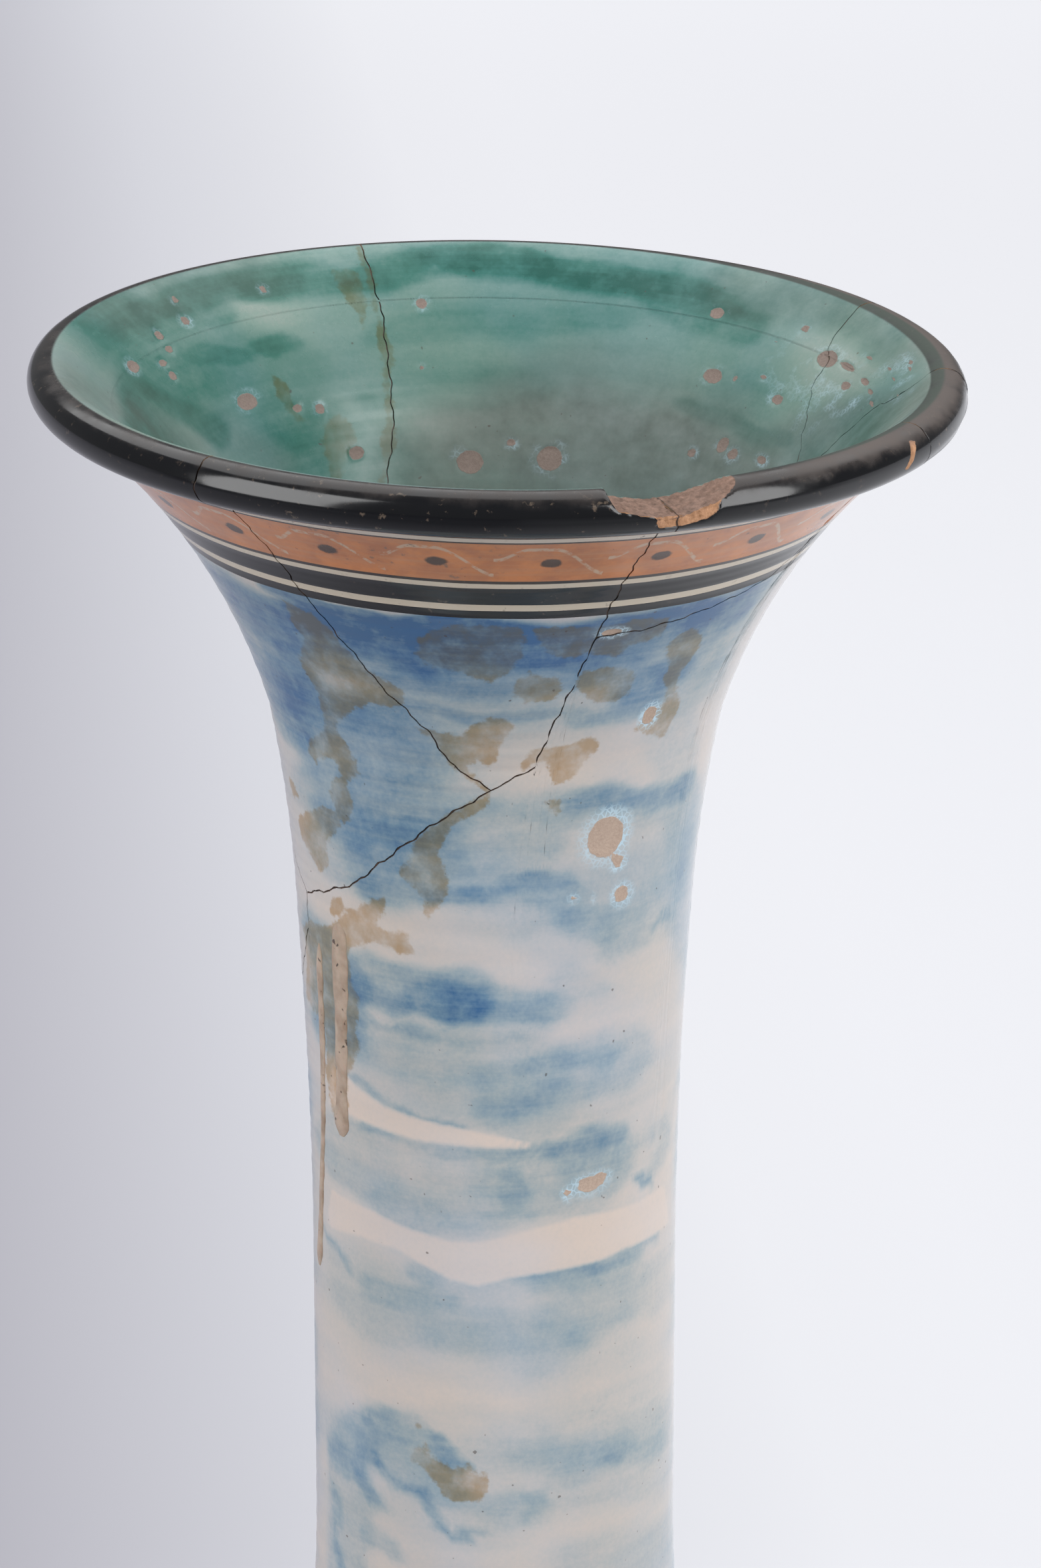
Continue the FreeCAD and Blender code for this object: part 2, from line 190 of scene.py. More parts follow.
def slump(places, direction=1):
    """Shifts the mouth to +X and lowers it on that side, more towards the lip."""
    share = smooth((places[..., 2] - SLUMP_START) / (LIP_HEIGHT - SLUMP_START)) * direction
    moved = places.copy()
    moved[..., 0] += SLUMP_SHIFT * share
    moved[..., 2] -= SLUMP_SLOPE * places[..., 0] * share
    return moved


print(f"the lip is {2 * LIP_RADIUS * SLUMP_SLOPE:.1f} mm lower on the right than on the left")

# %% [markdown]
# ## The camera, and looking through it
# The photograph was taken a metre and a half away with a long lens, from above the lip.
# The camera comes first because the marks on the jar are placed by it: a mark is written
# down as pixels of the photograph, and a ray through each pixel finds the wall. That is
# quicker than unwrapping the jar by hand, and the marks still sit on the real surface.

# %% The camera
PHOTO_WIDTH, PHOTO_HEIGHT = 1568, 2361
CAMERA_PLACE = np.array([6.4, -1439.71, 1115.0])
CAMERA_TILT = np.radians(70.096)
LENS = 147.31
SENSOR = 36.0


def in_scene(name, data):
    """A new object for a mesh, a lamp or a camera, linked to the scene."""
    made = bpy.data.objects.new(name, data)
    bpy.context.scene.collection.objects.link(made)
    return made


camera_data = bpy.data.cameras.new("camera")
camera_data.lens = LENS
camera_data.sensor_width = camera_data.sensor_height = SENSOR
camera_data.sensor_fit = "AUTO"
camera = in_scene("camera", camera_data)
camera.location = CAMERA_PLACE * MM
camera.rotation_euler = (CAMERA_TILT, 0, 0)
bpy.context.scene.camera = camera
print(f"the lens is {LENS:.0f} mm on a {SENSOR:.0f} mm long side")

# %% Rays through pixels
RAY_NEAR, RAY_FAR, RAY_STEP = 1250.0, 1800.0, 0.5
FOCAL_PIXELS = LENS / SENSOR * PHOTO_HEIGHT


def look_through(pixels, side):
    """The angle in degrees and the distance from the crest where rays meet a side of the wall.

    A ray is the camera's place plus a growing length times its direction. Outside, the
    wall is met where the ray first comes nearer to the axis than the wall's radius at
    that height, and inside where it last goes further out than that.
    """
    pixels = np.array(pixels, float).reshape(-1, 2)
    across = (pixels[:, 0] - PHOTO_WIDTH / 2) / FOCAL_PIXELS
    up = (PHOTO_HEIGHT / 2 - pixels[:, 1]) / FOCAL_PIXELS
    sine, cosine = np.sin(CAMERA_TILT), np.cos(CAMERA_TILT)
    way = np.stack([across, sine + up * cosine, up * sine - cosine], axis=1)
    way /= np.linalg.norm(way, axis=1, keepdims=True)
    reach = np.arange(RAY_NEAR, RAY_FAR, RAY_STEP)
    places = slump(CAMERA_PLACE + way[:, None, :] * reach[None, :, None], direction=-1)
    height = np.minimum(places[..., 2], side["height"][0])
    over = np.hypot(places[..., 0], places[..., 1]) - look_up(side, "radius", down_to(side, height))
    if side is OUTSIDE:
        hit = np.argmax(over < 0, axis=1)
    else:
        leaves = (over[:, :-1] < 0) & (over[:, 1:] >= 0)
        hit = leaves.shape[1] - np.argmax(leaves[:, ::-1], axis=1)
    met = places[np.arange(len(hit)), hit]
    angle = np.degrees(np.arctan2(met[:, 0], -met[:, 1]))
    return angle, down_to(side, met[:, 2])


for label, pixel, side in (("big flake", (912, 1260), OUTSIDE), ("far wall", (538, 373), INSIDE)):
    angle, down = look_through([pixel], side)
    print(f"{label}: {angle[0]:.1f} degrees, {down[0]:.1f} mm from the crest")

# %% [markdown]
# ## The breaks
# A pot breaks along lines that run over the lip, meet in threes and never cross. They
# could be cut with booleans, which are slow on fine meshes and leave long thin faces. It
# is cleaner to treat each break as one shared line, from which both neighbours and the
# glue between them take their edges. The corners of a line are written as an angle and
# a share of the trumpet's height below the lip, and a small seeded wander makes the line
# as ragged as fired clay.

# %% The breaks between the places where they meet
TRUMPET = 210.0
FRONT = (-1.0, 0.394)
AT_RIGHT = (18.7, 0.192)
AT_LEFT = (-68.0, 0.577)
AT_SIDE = (98.0, 0.140)
BACK_LEFT = (-150.0, 0.300)
BACK_LOW = (-155.0, 0.385)
BACK_TIP = (-184.0, 0.490)
NECK_TIP = (-108.0, 0.800)
LIP_BREAKS = {
    "front_left": (-37.4, [(-37.4, 0.070), (-35.5, 0.155), (-31.5, 0.210), (-25.0, 0.270),
                           (-15.2, 0.325), (-11.0, 0.362), FRONT]),
    "front_right": (21.6, [(21.2, 0.060), (19.9, 0.130), AT_RIGHT]),
    "right": (63.5, [(63.5, 0.060), (62.5, 0.125), (57.0, 0.158), (48.6, 0.169),
                     (37.0, 0.182), (27.0, 0.190), AT_RIGHT]),
    "side": (89.0, [(92.5, 0.025), (94.7, 0.060), (96.5, 0.095), AT_SIDE]),
    "back_right": (121.0, [(119.0, 0.025), (116.5, 0.055), (109.0, 0.095), AT_SIDE]),
    "back_left": (-160.7, [(-161.0, 0.030), (-159.5, 0.100), (-158.0, 0.150), (-154.0, 0.200),
                           (-151.5, 0.250), BACK_LEFT]),
}
NECK_BREAKS = {
    "front_low": [AT_RIGHT, (16.6, 0.257), (12.3, 0.325), (9.8, 0.365), (5.5, 0.377), FRONT],
    "lower_left": [FRONT, (-15.0, 0.437), (-30.0, 0.491), (-42.3, 0.535), (-54.0, 0.556), AT_LEFT],
    "left_side": [AT_LEFT, (-84.0, 0.530), (-103.0, 0.460), (-128.0, 0.370), BACK_LEFT],
    "back_low": [BACK_LEFT, BACK_LOW],
    "back": [BACK_LOW, (-170.0, 0.455), BACK_TIP],
    "back_rise": [BACK_TIP, (-208.0, 0.420), (-230.0, 0.330), (-248.0, 0.235), (-262.0, 0.140)],
    "neck_left": [AT_LEFT, (-68.8, 0.620), (-76.0, 0.668), (-92.0, 0.740), NECK_TIP],
    "neck_back": [NECK_TIP, (-124.0, 0.700), (-144.0, 0.520), BACK_LOW],
}
BREAK_STEP = 0.7
WANDERS = ((0.30, 9.0), (0.16, 3.7))
WANDER_FADE = 5.0


def true_steps(angle, down):
    """How far each point lies from the one before it, across and down, in millimetres."""
    radius = look_up(OUTSIDE, "radius", down)
    across = np.radians(np.diff(angle)) * (radius[1:] + radius[:-1]) / 2
    return across, np.diff(down)


def length_along(angle, down):
    """How far each point of a line lies from its start, in millimetres along it."""
    return np.concatenate([[0], np.cumsum(np.hypot(*true_steps(angle, down)))])


def beside(angle, down, offset):
    """The line moved sideways by an offset, to the right as it is followed down the wall."""
    across, below = true_steps(angle, down)
    across = np.gradient(np.concatenate([[0], np.cumsum(across)]))
    below = np.gradient(np.concatenate([[0], np.cumsum(below)]))
    length = np.maximum(np.hypot(across, below), 1e-6)
    radius = look_up(OUTSIDE, "radius", down)
    return angle + np.degrees(offset * below / length / radius), down - offset * across / length


def break_line(places, seed):
    """A break as close points: straight between its corners, plus two fading sine wanders."""
    angle = np.array([place[0] for place in places], float)
    down = down_to(OUTSIDE, [LIP_HEIGHT - TRUMPET * place[1] for place in places])
    if places[0][1] < 0:
        down[0] = 0.0
    length = length_along(angle, down)
    marks = np.linspace(0, length[-1], int(length[-1] / BREAK_STEP) + 2)
    angle, down = np.interp(marks, length, angle), np.interp(marks, length, down)
    random = np.random.default_rng(seed)
    wander = sum(size * np.sin(2 * np.pi * (marks / wave + random.random())) for size, wave in WANDERS)
    wander = wander * smooth(marks / WANDER_FADE) * smooth((length[-1] - marks) / WANDER_FADE)
    return beside(angle, down, wander)


CREST_SHARE = -ROLL / TRUMPET
breaks = {}
for seed, (name, (lip_angle, places)) in enumerate(LIP_BREAKS.items()):
    over_lip = [(lip_angle, CREST_SHARE), (lip_angle, 0.0)]
    breaks[name] = break_line(over_lip + places, seed)
for seed, (name, places) in enumerate(NECK_BREAKS.items(), start=len(breaks)):
    breaks[name] = break_line(places, seed)
print("breaks:", ", ".join(f"{name} {len(line[0])} points" for name, line in breaks.items()))

# %% [markdown]
# ## Marks on a map
# The paint is worked out once for every vertex, as a few numbers that the glaze's material
# turns into colour. A wash is a density that fades from a brush line. What has a crisp
# edge, such as a stain or a flake, is kept as a signed distance to its edge: that changes
# evenly across the mesh, so the edge stays sharp between vertices. Painting an image would
# need a texture file, and this needs none.

# %% Distances to lines and loops on the map
def from_line(line, x, y):
    """The least distance to a bent line: to the nearest point of each run, kept within it."""
    best = np.full(x.shape, np.inf)
    for (ax, ay), (bx, by) in zip(line, line[1:]):
        dx, dy = bx - ax, by - ay
        share = np.clip(((x - ax) * dx + (y - ay) * dy) / max(dx * dx + dy * dy, 1e-12), 0, 1)
        best = np.minimum(best, (x - ax - share * dx) ** 2 + (y - ay - share * dy) ** 2)
    return np.sqrt(best)


def in_loop(line, x, y):
    """True where a level ray to the right crosses the closed loop an odd number of times."""
    odd = np.zeros(x.shape, bool)
    for (ax, ay), (bx, by) in zip(line, np.roll(line, -1, axis=0)):
        crosses = (ay > y) != (by > y)
        odd ^= crosses & (x < (bx - ax) * (y - ay) / (by - ay + 1e-12) + ax)
    return odd


print("one run away:", from_line([(0, 0), (1, 0)], np.array([0.5]), np.array([2.0])).tolist())

# %% Pixels of the photograph as places on the map
def from_middle(angle, side):
    """Degrees from the middle of what the photograph shows of a side, which is at the back inside."""
    middle = 0.0 if side is OUTSIDE else 180.0
    return (angle - middle + 180) % 360 - 180


def on_map(angle, down, side):
    """Map coordinates: the angle from the middle of the painted view, and the map's depth."""
    return np.radians(from_middle(angle, side)), look_up(side, "map", down)


def traced(pixels, side):
    """A line given in pixels of the photograph, as points on the map."""
    return np.stack(on_map(*look_through(pixels, side), side), axis=1)


print("the map's depth at the axis is", round(float(OUTSIDE["map"][-1]), 2))

# %% Strokes and closed shapes on the map
FAR_OFF = -9.0
ALONG_BRUSH = 0.6
WOBBLES = (
    # size on the map, then how often it turns per radian across and down
    (0.022, 5.0, 3.0), (0.012, 11.0, -7.0), (0.006, 23.0, 17.0),
)


def near(line, x, y, radius, margin):
    """Which points lie within a margin of a line's box, so that the rest can be left out."""
    low, high = line.min(axis=0), line.max(axis=0)
    spare = margin / radius
    return ((x > low[0] - spare) & (x < high[0] + spare)
            & (y > low[1] - spare) & (y < high[1] + spare))


def laid_over(density, off, strength, width, fade):
    """A wash over the others: each lets through one less its own share of the light."""
    return 1 - (1 - density) * (1 - strength * smooth((width + fade - off) / fade))


def add_wash(density, line, x, y, radius, strength, width, fade):
    """Lays a stroke of wash. Distances count for less across, so it fades out longer at its ends."""
    close = near(line, x, y, radius, (width + fade) / ALONG_BRUSH)
    squeeze = np.array([ALONG_BRUSH, 1.0])
    off = from_line(line * squeeze, x[close] * ALONG_BRUSH, y[close]) * radius[close]
    density[close] = laid_over(density[close], off, strength, width, fade)


def wobbled(x, y):
    """The map shaken by a few slow waves, as a hand shakes, so that strokes have live edges."""
    for size, across, below in WOBBLES:
        x, y = x + size * np.sin(y * across * 2 + x * below), y + size * np.sin(x * across + y * below + 1)
    return x, y


def add_loop(field, line, x, y, radius):
    """Joins a closed shape to a field of signed distances, positive inside the shape."""
    close = near(line, x, y, radius, -FAR_OFF)
    closed = np.concatenate([line, line[:1]])
    off = from_line(closed, x[close], y[close]) * radius[close]
    signed = np.where(in_loop(line, x[close], y[close]), off, -off)
    field[close] = np.maximum(field[close], signed)


print("a mark fades out", -FAR_OFF, "mm from its edge")

# %% [markdown]
# ## The painter's washes
# Cobalt outside and copper green inside were brushed on in broad wet strokes while the
# jar turned, so they lie almost level, thin out at their ends and leave bare ribbons
# between them. Each stroke is its strength, its half width and its fade in millimetres,
# and a line of pixels. Where the photograph does not reach, strokes of the same kind are
# drawn by a seeded loop.

# %% Cobalt strokes outside
COBALT = [
    # under the border
    (0.62, 6.0, 5.0, [(362, 905), (420, 930), (520, 955), (700, 970)]),
    (0.55, 6.0, 5.0, [(700, 968), (860, 965), (1000, 945), (1080, 925)]),
    (0.40, 4.0, 5.0, [(1080, 920), (1140, 888)]),
    (0.22, 7.0, 6.0, [(1066, 985), (1100, 930)]),
    (0.58, 8.0, 7.0, [(352, 892), (376, 940), (402, 1000), (420, 1050)]),
    (0.26, 9.0, 8.0, [(470, 1090), (540, 1115)]),
    (0.74, 3.0, 3.0, [(452, 930), (520, 950), (600, 963), (700, 972)]),
    (0.80, 1.5, 2.0, [(500, 944), (560, 957), (640, 964), (715, 966)]),
    (0.70, 1.4, 1.4, [(400, 880), (430, 893), (500, 919), (575, 935), (700, 945), (800, 946), (900, 940),
                      (1000, 925), (1070, 905)]),
    (0.60, 2.0, 2.0, [(470, 924), (540, 944), (640, 954), (760, 957), (880, 950), (980, 932)]),
    (0.42, 4.5, 4.0, [(480, 975), (560, 1002), (660, 1012), (760, 1012), (900, 995)]),
    (0.50, 2.0, 2.5, [(545, 985), (600, 1000), (665, 1012)]),
    (0.70, 2.4, 1.6, [(770, 985), (812, 986)]),
    (0.62, 4.5, 3.5, [(700, 958), (820, 962), (940, 948), (1030, 926)]),
    (0.62, 2.2, 2.0, [(700, 955), (800, 958), (905, 950)]),
    (0.78, 1.6, 1.5, [(925, 953), (975, 946)]),
    (0.34, 4.0, 5.0, [(436, 985), (440, 1040)]),
    (0.16, 3.5, 3.0, [(620, 1040), (700, 1056), (770, 1056)]),
    (0.20, 6.0, 5.0, [(480, 1060), (560, 1052), (680, 1062), (800, 1062), (950, 1040)]),
    (0.30, 0.9, 1.4, [(600, 1062), (700, 1072), (800, 1073), (860, 1070)]),
    (0.40, 1.6, 2.4, [(880, 1082), (930, 1076), (985, 1058)]),
    (0.45, 3.4, 3.0, [(970, 1030), (1000, 1022)]),
    (0.24, 6.0, 6.0, [(1000, 1010), (1050, 1030), (1064, 960)]),
    # from the breaks down to the flakes
    (0.26, 9.0, 7.0, [(500, 1095), (560, 1120), (570, 1190)]),
    (0.16, 8.0, 7.0, [(600, 1110), (640, 1170), (650, 1200)]),
    (0.25, 7.0, 5.0, [(500, 1210), (560, 1240), (600, 1260)]),
    (0.32, 2.6, 3.0, [(500, 1236), (540, 1245), (590, 1256)]),
    (0.28, 5.0, 4.0, [(500, 1290), (545, 1310), (590, 1325)]),
    (0.30, 1.8, 2.4, [(560, 1330), (603, 1338), (640, 1345)]),
    (0.17, 12.0, 6.0, [(620, 1270), (760, 1280), (900, 1290), (1000, 1270)]),
    (0.42, 1.6, 2.6, [(870, 1212), (930, 1206), (990, 1194), (1040, 1174)]),
    (0.20, 3.0, 3.0, [(800, 1215), (880, 1222), (960, 1215)]),
    (0.16, 2.0, 2.5, [(640, 1235), (740, 1225), (860, 1228)]),
    (0.18, 3.5, 3.0, [(640, 1290), (720, 1290), (800, 1280)]),
    (0.35, 1.2, 1.8, [(660, 1350), (740, 1344), (800, 1334), (850, 1328)]),
    (0.22, 2.6, 2.5, [(700, 1325), (770, 1338), (840, 1350)]),
    (0.16, 4.0, 4.0, [(860, 1370), (940, 1372), (1010, 1350)]),
    (0.22, 3.0, 3.0, [(880, 1385), (940, 1392)]),
    (0.30, 0.7, 1.0, [(990, 1394), (1006, 1382)]),
    (0.18, 1.4, 2.2, [(925, 1434), (970, 1408), (1006, 1392)]),
    (0.14, 3.0, 3.0, [(718, 1372), (748, 1398)]),
    (0.12, 4.0, 4.0, [(835, 1405), (870, 1415)]),
    (0.22, 3.0, 4.0, [(1012, 1100), (1030, 1200), (1034, 1320), (1028, 1420)]),
    # the dark patch, and the two thin edges below it
    (0.50, 5.0, 4.0, [(486, 1425), (502, 1470), (500, 1540)]),
    (0.42, 5.0, 3.0, [(560, 1470), (620, 1490), (680, 1500)]),
    (0.35, 1.6, 1.6, [(538, 1475), (560, 1502), (605, 1524)]),
    (0.50, 3.2, 3.0, [(655, 1503), (690, 1518)]),
    (0.36, 3.0, 2.6, [(690, 1520), (760, 1516), (815, 1512)]),
    (0.20, 3.0, 3.0, [(640, 1542), (720, 1546), (780, 1540)]),
    (0.15, 2.0, 2.0, [(860, 1465), (895, 1488)]),
    (0.20, 0.4, 0.8, [(545, 1512), (575, 1545), (620, 1561)]),
    (0.12, 1.2, 1.8, [(620, 1562), (700, 1568), (800, 1570), (900, 1560)]),
    (0.24, 5.0, 4.0, [(545, 1560), (600, 1585), (650, 1600)]),
    (0.14, 9.0, 4.0, [(560, 1620), (660, 1640), (740, 1620)]),
    (0.24, 6.0, 4.0, [(790, 1630), (850, 1615), (930, 1602)]),
    (0.22, 1.2, 1.8, [(795, 1602), (830, 1590), (930, 1590)]),
    (0.18, 4.0, 2.0, [(770, 1670), (800, 1688), (850, 1655)]),
    (0.34, 0.5, 0.9, [(530, 1622), (560, 1652), (600, 1674), (640, 1686), (700, 1699)]),
    # between the ribbons
    (0.24, 9.0, 3.0, [(530, 1745), (620, 1785), (720, 1795), (860, 1775)]),
    (0.18, 6.0, 4.0, [(780, 1762), (900, 1750)]),
    (0.14, 4.0, 4.0, [(900, 1760), (990, 1720)]),
    (0.26, 1.2, 1.6, [(560, 1700), (620, 1716), (700, 1728), (800, 1732), (870, 1722), (930, 1705)]),
    (0.14, 2.2, 2.6, [(860, 1728), (930, 1710), (985, 1692)]),
    (0.22, 1.2, 1.2, [(760, 1768), (768, 1795), (785, 1812)]),
    (0.16, 0.4, 0.8, [(738, 1828), (790, 1836), (848, 1835)]),
    (0.12, 4.0, 3.5, [(600, 1815), (625, 1840), (660, 1850)]),
    (0.50, 0.9, 1.0, [(966, 1768), (976, 1775)]),
    (0.18, 1.4, 2.0, [(1012, 1650), (1004, 1710), (978, 1760)]),
    (0.30, 0.5, 0.9, [(490, 1860), (512, 1884), (528, 1905)]),
    (0.14, 9.0, 4.0, [(560, 1950), (650, 1975), (780, 1975), (900, 1950)]),
    (0.26, 1.6, 2.4, [(560, 1935), (600, 1948), (660, 1955)]),
    (0.36, 0.8, 1.4, [(770, 1922), (820, 1916), (870, 1908), (935, 1886), (990, 1862)]),
    (0.24, 2.0, 2.4, [(820, 1928), (880, 1920), (950, 1895)]),
    (0.15, 5.0, 4.0, [(880, 1970), (960, 1950), (1000, 1930)]),
    (0.22, 1.4, 1.6, [(636, 1908), (648, 1922)]),
    (0.10, 5.0, 4.0, [(700, 2010), (800, 2030)]),
    (0.10, 5.0, 5.0, [(850, 2060), (920, 2060)]),
    # the curl at the bottom of the picture
    (0.12, 10.0, 5.0, [(720, 2190), (850, 2200), (1000, 2170)]),
    (0.12, 7.0, 5.0, [(830, 2160), (920, 2150), (1000, 2120)]),
    (0.12, 2.0, 2.4, [(800, 2180), (870, 2195), (930, 2185)]),
    (0.14, 1.6, 2.2, [(870, 2200), (950, 2190), (1000, 2165)]),
    (0.16, 1.2, 1.8, [(830, 2235), (890, 2222), (930, 2205)]),
    (0.30, 4.0, 2.4, [(600, 2150), (560, 2145), (530, 2160), (522, 2200)]),
    (0.27, 4.5, 2.4, [(525, 2210), (522, 2260), (520, 2330), (525, 2400)]),
    (0.30, 0.6, 1.0, [(506, 2240), (505, 2310), (515, 2361), (522, 2400)]),
    (0.36, 0.8, 1.0, [(550, 2134), (575, 2130), (595, 2138)]),
    (0.30, 4.0, 2.4, [(570, 2180), (610, 2195), (650, 2235)]),
    (0.42, 0.5, 0.8, [(568, 2200), (585, 2228), (610, 2245), (632, 2250), (645, 2272), (662, 2294),
                      (690, 2311), (708, 2312)]),
    (0.32, 0.9, 0.9, [(706, 2305), (722, 2298)]),
    (0.45, 1.2, 1.2, [(662, 2170), (672, 2188), (690, 2202)]),
    (0.30, 1.5, 1.3, [(548, 2235), (562, 2266)]),
    (0.28, 1.4, 1.4, [(555, 2318), (588, 2322), (598, 2338)]),
    (0.18, 0.9, 1.1, [(800, 2252), (815, 2265), (798, 2288)]),
    (0.14, 3.0, 3.0, [(760, 2265), (790, 2275)]),
    (0.10, 5.0, 4.0, [(640, 2280), (760, 2290)]),
    (0.16, 5.0, 5.0, [(900, 2350), (1000, 2330)]),
]
BARE_OUTSIDE = [
    [(500, 1602), (520, 1618), (545, 1642), (580, 1667), (632, 1684), (700, 1701), (760, 1713), (800, 1721),
     (797, 1727), (740, 1727), (696, 1724), (618, 1714), (564, 1695), (520, 1674), (496, 1660)],
    [(500, 1790), (560, 1822), (623, 1852), (681, 1869), (730, 1869), (793, 1852), (865, 1833),
     (938, 1818), (1000, 1784), (1006, 1840), (938, 1880), (899, 1898), (831, 1914), (768, 1923),
     (720, 1935), (680, 1925), (640, 1905), (600, 1880), (540, 1860), (492, 1845)],
]
print(len(COBALT), "cobalt strokes,", len(BARE_OUTSIDE), "bare ribbons")

# %% Copper green strokes inside
COPPER = [
    (0.30, 5.0, 4.0, [(160, 480), (260, 425), (400, 395), (600, 378), (800, 376), (1000, 396),
                      (1200, 446), (1330, 510)]),
    (0.56, 3.2, 2.6, [(265, 440), (340, 426), (420, 418), (480, 414)]),
    (0.62, 1.5, 1.9, [(380, 432), (430, 422)]),
    (0.62, 3.6, 2.6, [(560, 414), (660, 406), (780, 406), (880, 412), (950, 424)]),
    (0.48, 1.5, 1.8, [(640, 410), (760, 410), (850, 414), (925, 426)]),
    (0.60, 3.2, 2.4, [(990, 428), (1040, 434), (1090, 450)]),
    (0.44, 3.0, 3.0, [(1000, 455), (1080, 462), (1130, 480)]),
    (0.20, 2.4, 2.6, [(590, 498), (680, 494), (800, 494), (900, 478)]),
    (0.22, 3.0, 3.0, [(580, 590), (700, 585), (800, 590)]),
    (0.46, 2.0, 2.4, [(118, 530), (150, 500), (200, 478), (240, 460)]),
    (0.40, 1.6, 1.8, [(150, 545), (190, 520), (235, 500)]),
    (0.44, 2.0, 1.8, [(315, 532), (360, 538)]),
    (0.50, 1.8, 2.4, [(235, 600), (270, 625), (330, 662)]),
    (0.44, 1.6, 1.4, [(400, 520), (435, 508)]),
    (0.30, 2.0, 2.0, [(300, 455), (340, 470)]),
    (0.34, 12.0, 8.0, [(200, 520), (330, 560), (420, 620), (480, 690)]),
    (0.26, 8.0, 8.0, [(140, 500), (210, 510), (250, 560)]),
    (0.35, 5.0, 5.0, [(440, 640), (500, 690), (540, 720)]),
    (0.20, 14.0, 8.0, [(620, 470), (760, 470), (900, 480), (1050, 500)]),
    (0.20, 6.0, 6.0, [(1120, 600), (1200, 640), (1250, 660)]),
    (0.30, 1.2, 1.6, [(1030, 600), (1120, 640), (1180, 660)]),
]
MILK = [
    (0.75, 4.0, 9.0, [(1210, 560), (1280, 600), (1350, 570)]),
    (0.55, 3.0, 6.0, [(1190, 640), (1260, 620)]),
]
print(len(COPPER), "green strokes")

# %% Stains of old glue
STAINS_OUTSIDE = [
    [(430, 905), (470, 925), (500, 950), (530, 985), (548, 1000), (575, 1022), (614, 1043),
     (610, 1058), (585, 1062), (562, 1057), (535, 1062), (523, 1071), (509, 1095), (520, 1120),
     (536, 1145), (543, 1167), (528, 1177), (512, 1160), (500, 1138), (476, 1148), (466, 1130),
     (471, 1110), (488, 1090), (486, 1070), (478, 1040), (462, 1010), (452, 990), (456, 960),
     (440, 935)],
    [(500, 1168), (520, 1172), (530, 1200), (533, 1228), (520, 1240), (505, 1222), (495, 1190)],
    [(462, 1222), (488, 1214), (512, 1222), (514, 1248), (500, 1260), (494, 1285), (500, 1305),
     (482, 1312), (468, 1290), (455, 1262), (452, 1238)],
    [(436, 1172), (446, 1186), (450, 1200), (440, 1192)],
    [(620, 1092), (655, 1098), (690, 1108), (700, 1104), (715, 1092), (735, 1082), (758, 1082),
     (775, 1096), (770, 1112), (755, 1120), (750, 1138), (738, 1150), (718, 1146), (706, 1152),
     (712, 1170), (724, 1182), (738, 1190), (726, 1188), (700, 1170), (680, 1150), (662, 1128),
     (640, 1108)],
    [(628, 985), (634, 966), (650, 950), (690, 940), (740, 942), (780, 944), (792, 964), (790, 990),
     (772, 1008), (756, 1020), (730, 1024), (700, 1016), (660, 1008), (636, 1000)],
    [(806, 948), (880, 945), (960, 934), (1006, 930), (1000, 956), (960, 968), (930, 986), (880, 984),
     (840, 990), (812, 974)],
    [(778, 1022), (800, 1014), (842, 1018), (845, 1034), (836, 1050), (812, 1057), (795, 1060),
     (790, 1070), (786, 1056), (772, 1048), (774, 1034)],
    [(868, 1026), (884, 1012), (920, 1004), (953, 1004), (958, 1020), (948, 1040), (926, 1054),
     (900, 1060), (884, 1052), (876, 1040)],
    [(800, 1128), (850, 1120), (893, 1110), (899, 1124), (884, 1148), (868, 1168), (848, 1182),
     (834, 1180), (830, 1160), (818, 1148), (800, 1152), (790, 1160), (784, 1152)],
    [(820, 1204), (842, 1204), (845, 1222), (836, 1229), (824, 1220)],
    [(1000, 975), (1022, 955), (1046, 948), (1058, 960), (1044, 985), (1024, 1010), (1020, 1030),
     (1024, 1052), (1016, 1080), (1002, 1104), (992, 1116), (974, 1106), (958, 1098), (970, 1084),
     (992, 1072), (1002, 1050), (1002, 1028), (1006, 1000)],
    [(738, 1194), (732, 1204), (722, 1222), (700, 1228), (690, 1236), (668, 1258), (660, 1282),
     (668, 1300), (676, 1322), (672, 1350), (660, 1368), (648, 1388), (640, 1378), (636, 1354),
     (622, 1336), (604, 1324), (600, 1310), (612, 1300), (622, 1276), (640, 1254), (662, 1236),
     (692, 1220), (716, 1206)],
    [(466, 1382), (480, 1394), (500, 1396), (519, 1376), (540, 1364), (581, 1352), (576, 1376),
     (571, 1394), (590, 1400), (619, 1406), (622, 1420), (629, 1438), (610, 1436), (586, 1427),
     (562, 1420), (540, 1428), (528, 1424), (528, 1450), (530, 1480), (540, 1500), (542, 1520),
     (536, 1550), (542, 1578), (532, 1606), (524, 1618), (524, 1660), (520, 1690), (513, 1712),
     (505, 1690), (500, 1660), (494, 1620), (492, 1560), (486, 1530), (474, 1524), (462, 1500),
     (462, 1440), (458, 1400)],
    [(500, 1354), (516, 1350), (520, 1372), (506, 1380), (498, 1370)],
    [(613, 2178), (642, 2173), (657, 2197), (676, 2212), (700, 2209), (708, 2204), (716, 2219),
     (742, 2219), (734, 2246), (716, 2258), (690, 2260), (668, 2252), (660, 2232), (650, 2218),
     (630, 2208), (616, 2196)],
    [(622, 2134), (634, 2136), (634, 2150), (624, 2150)],
]
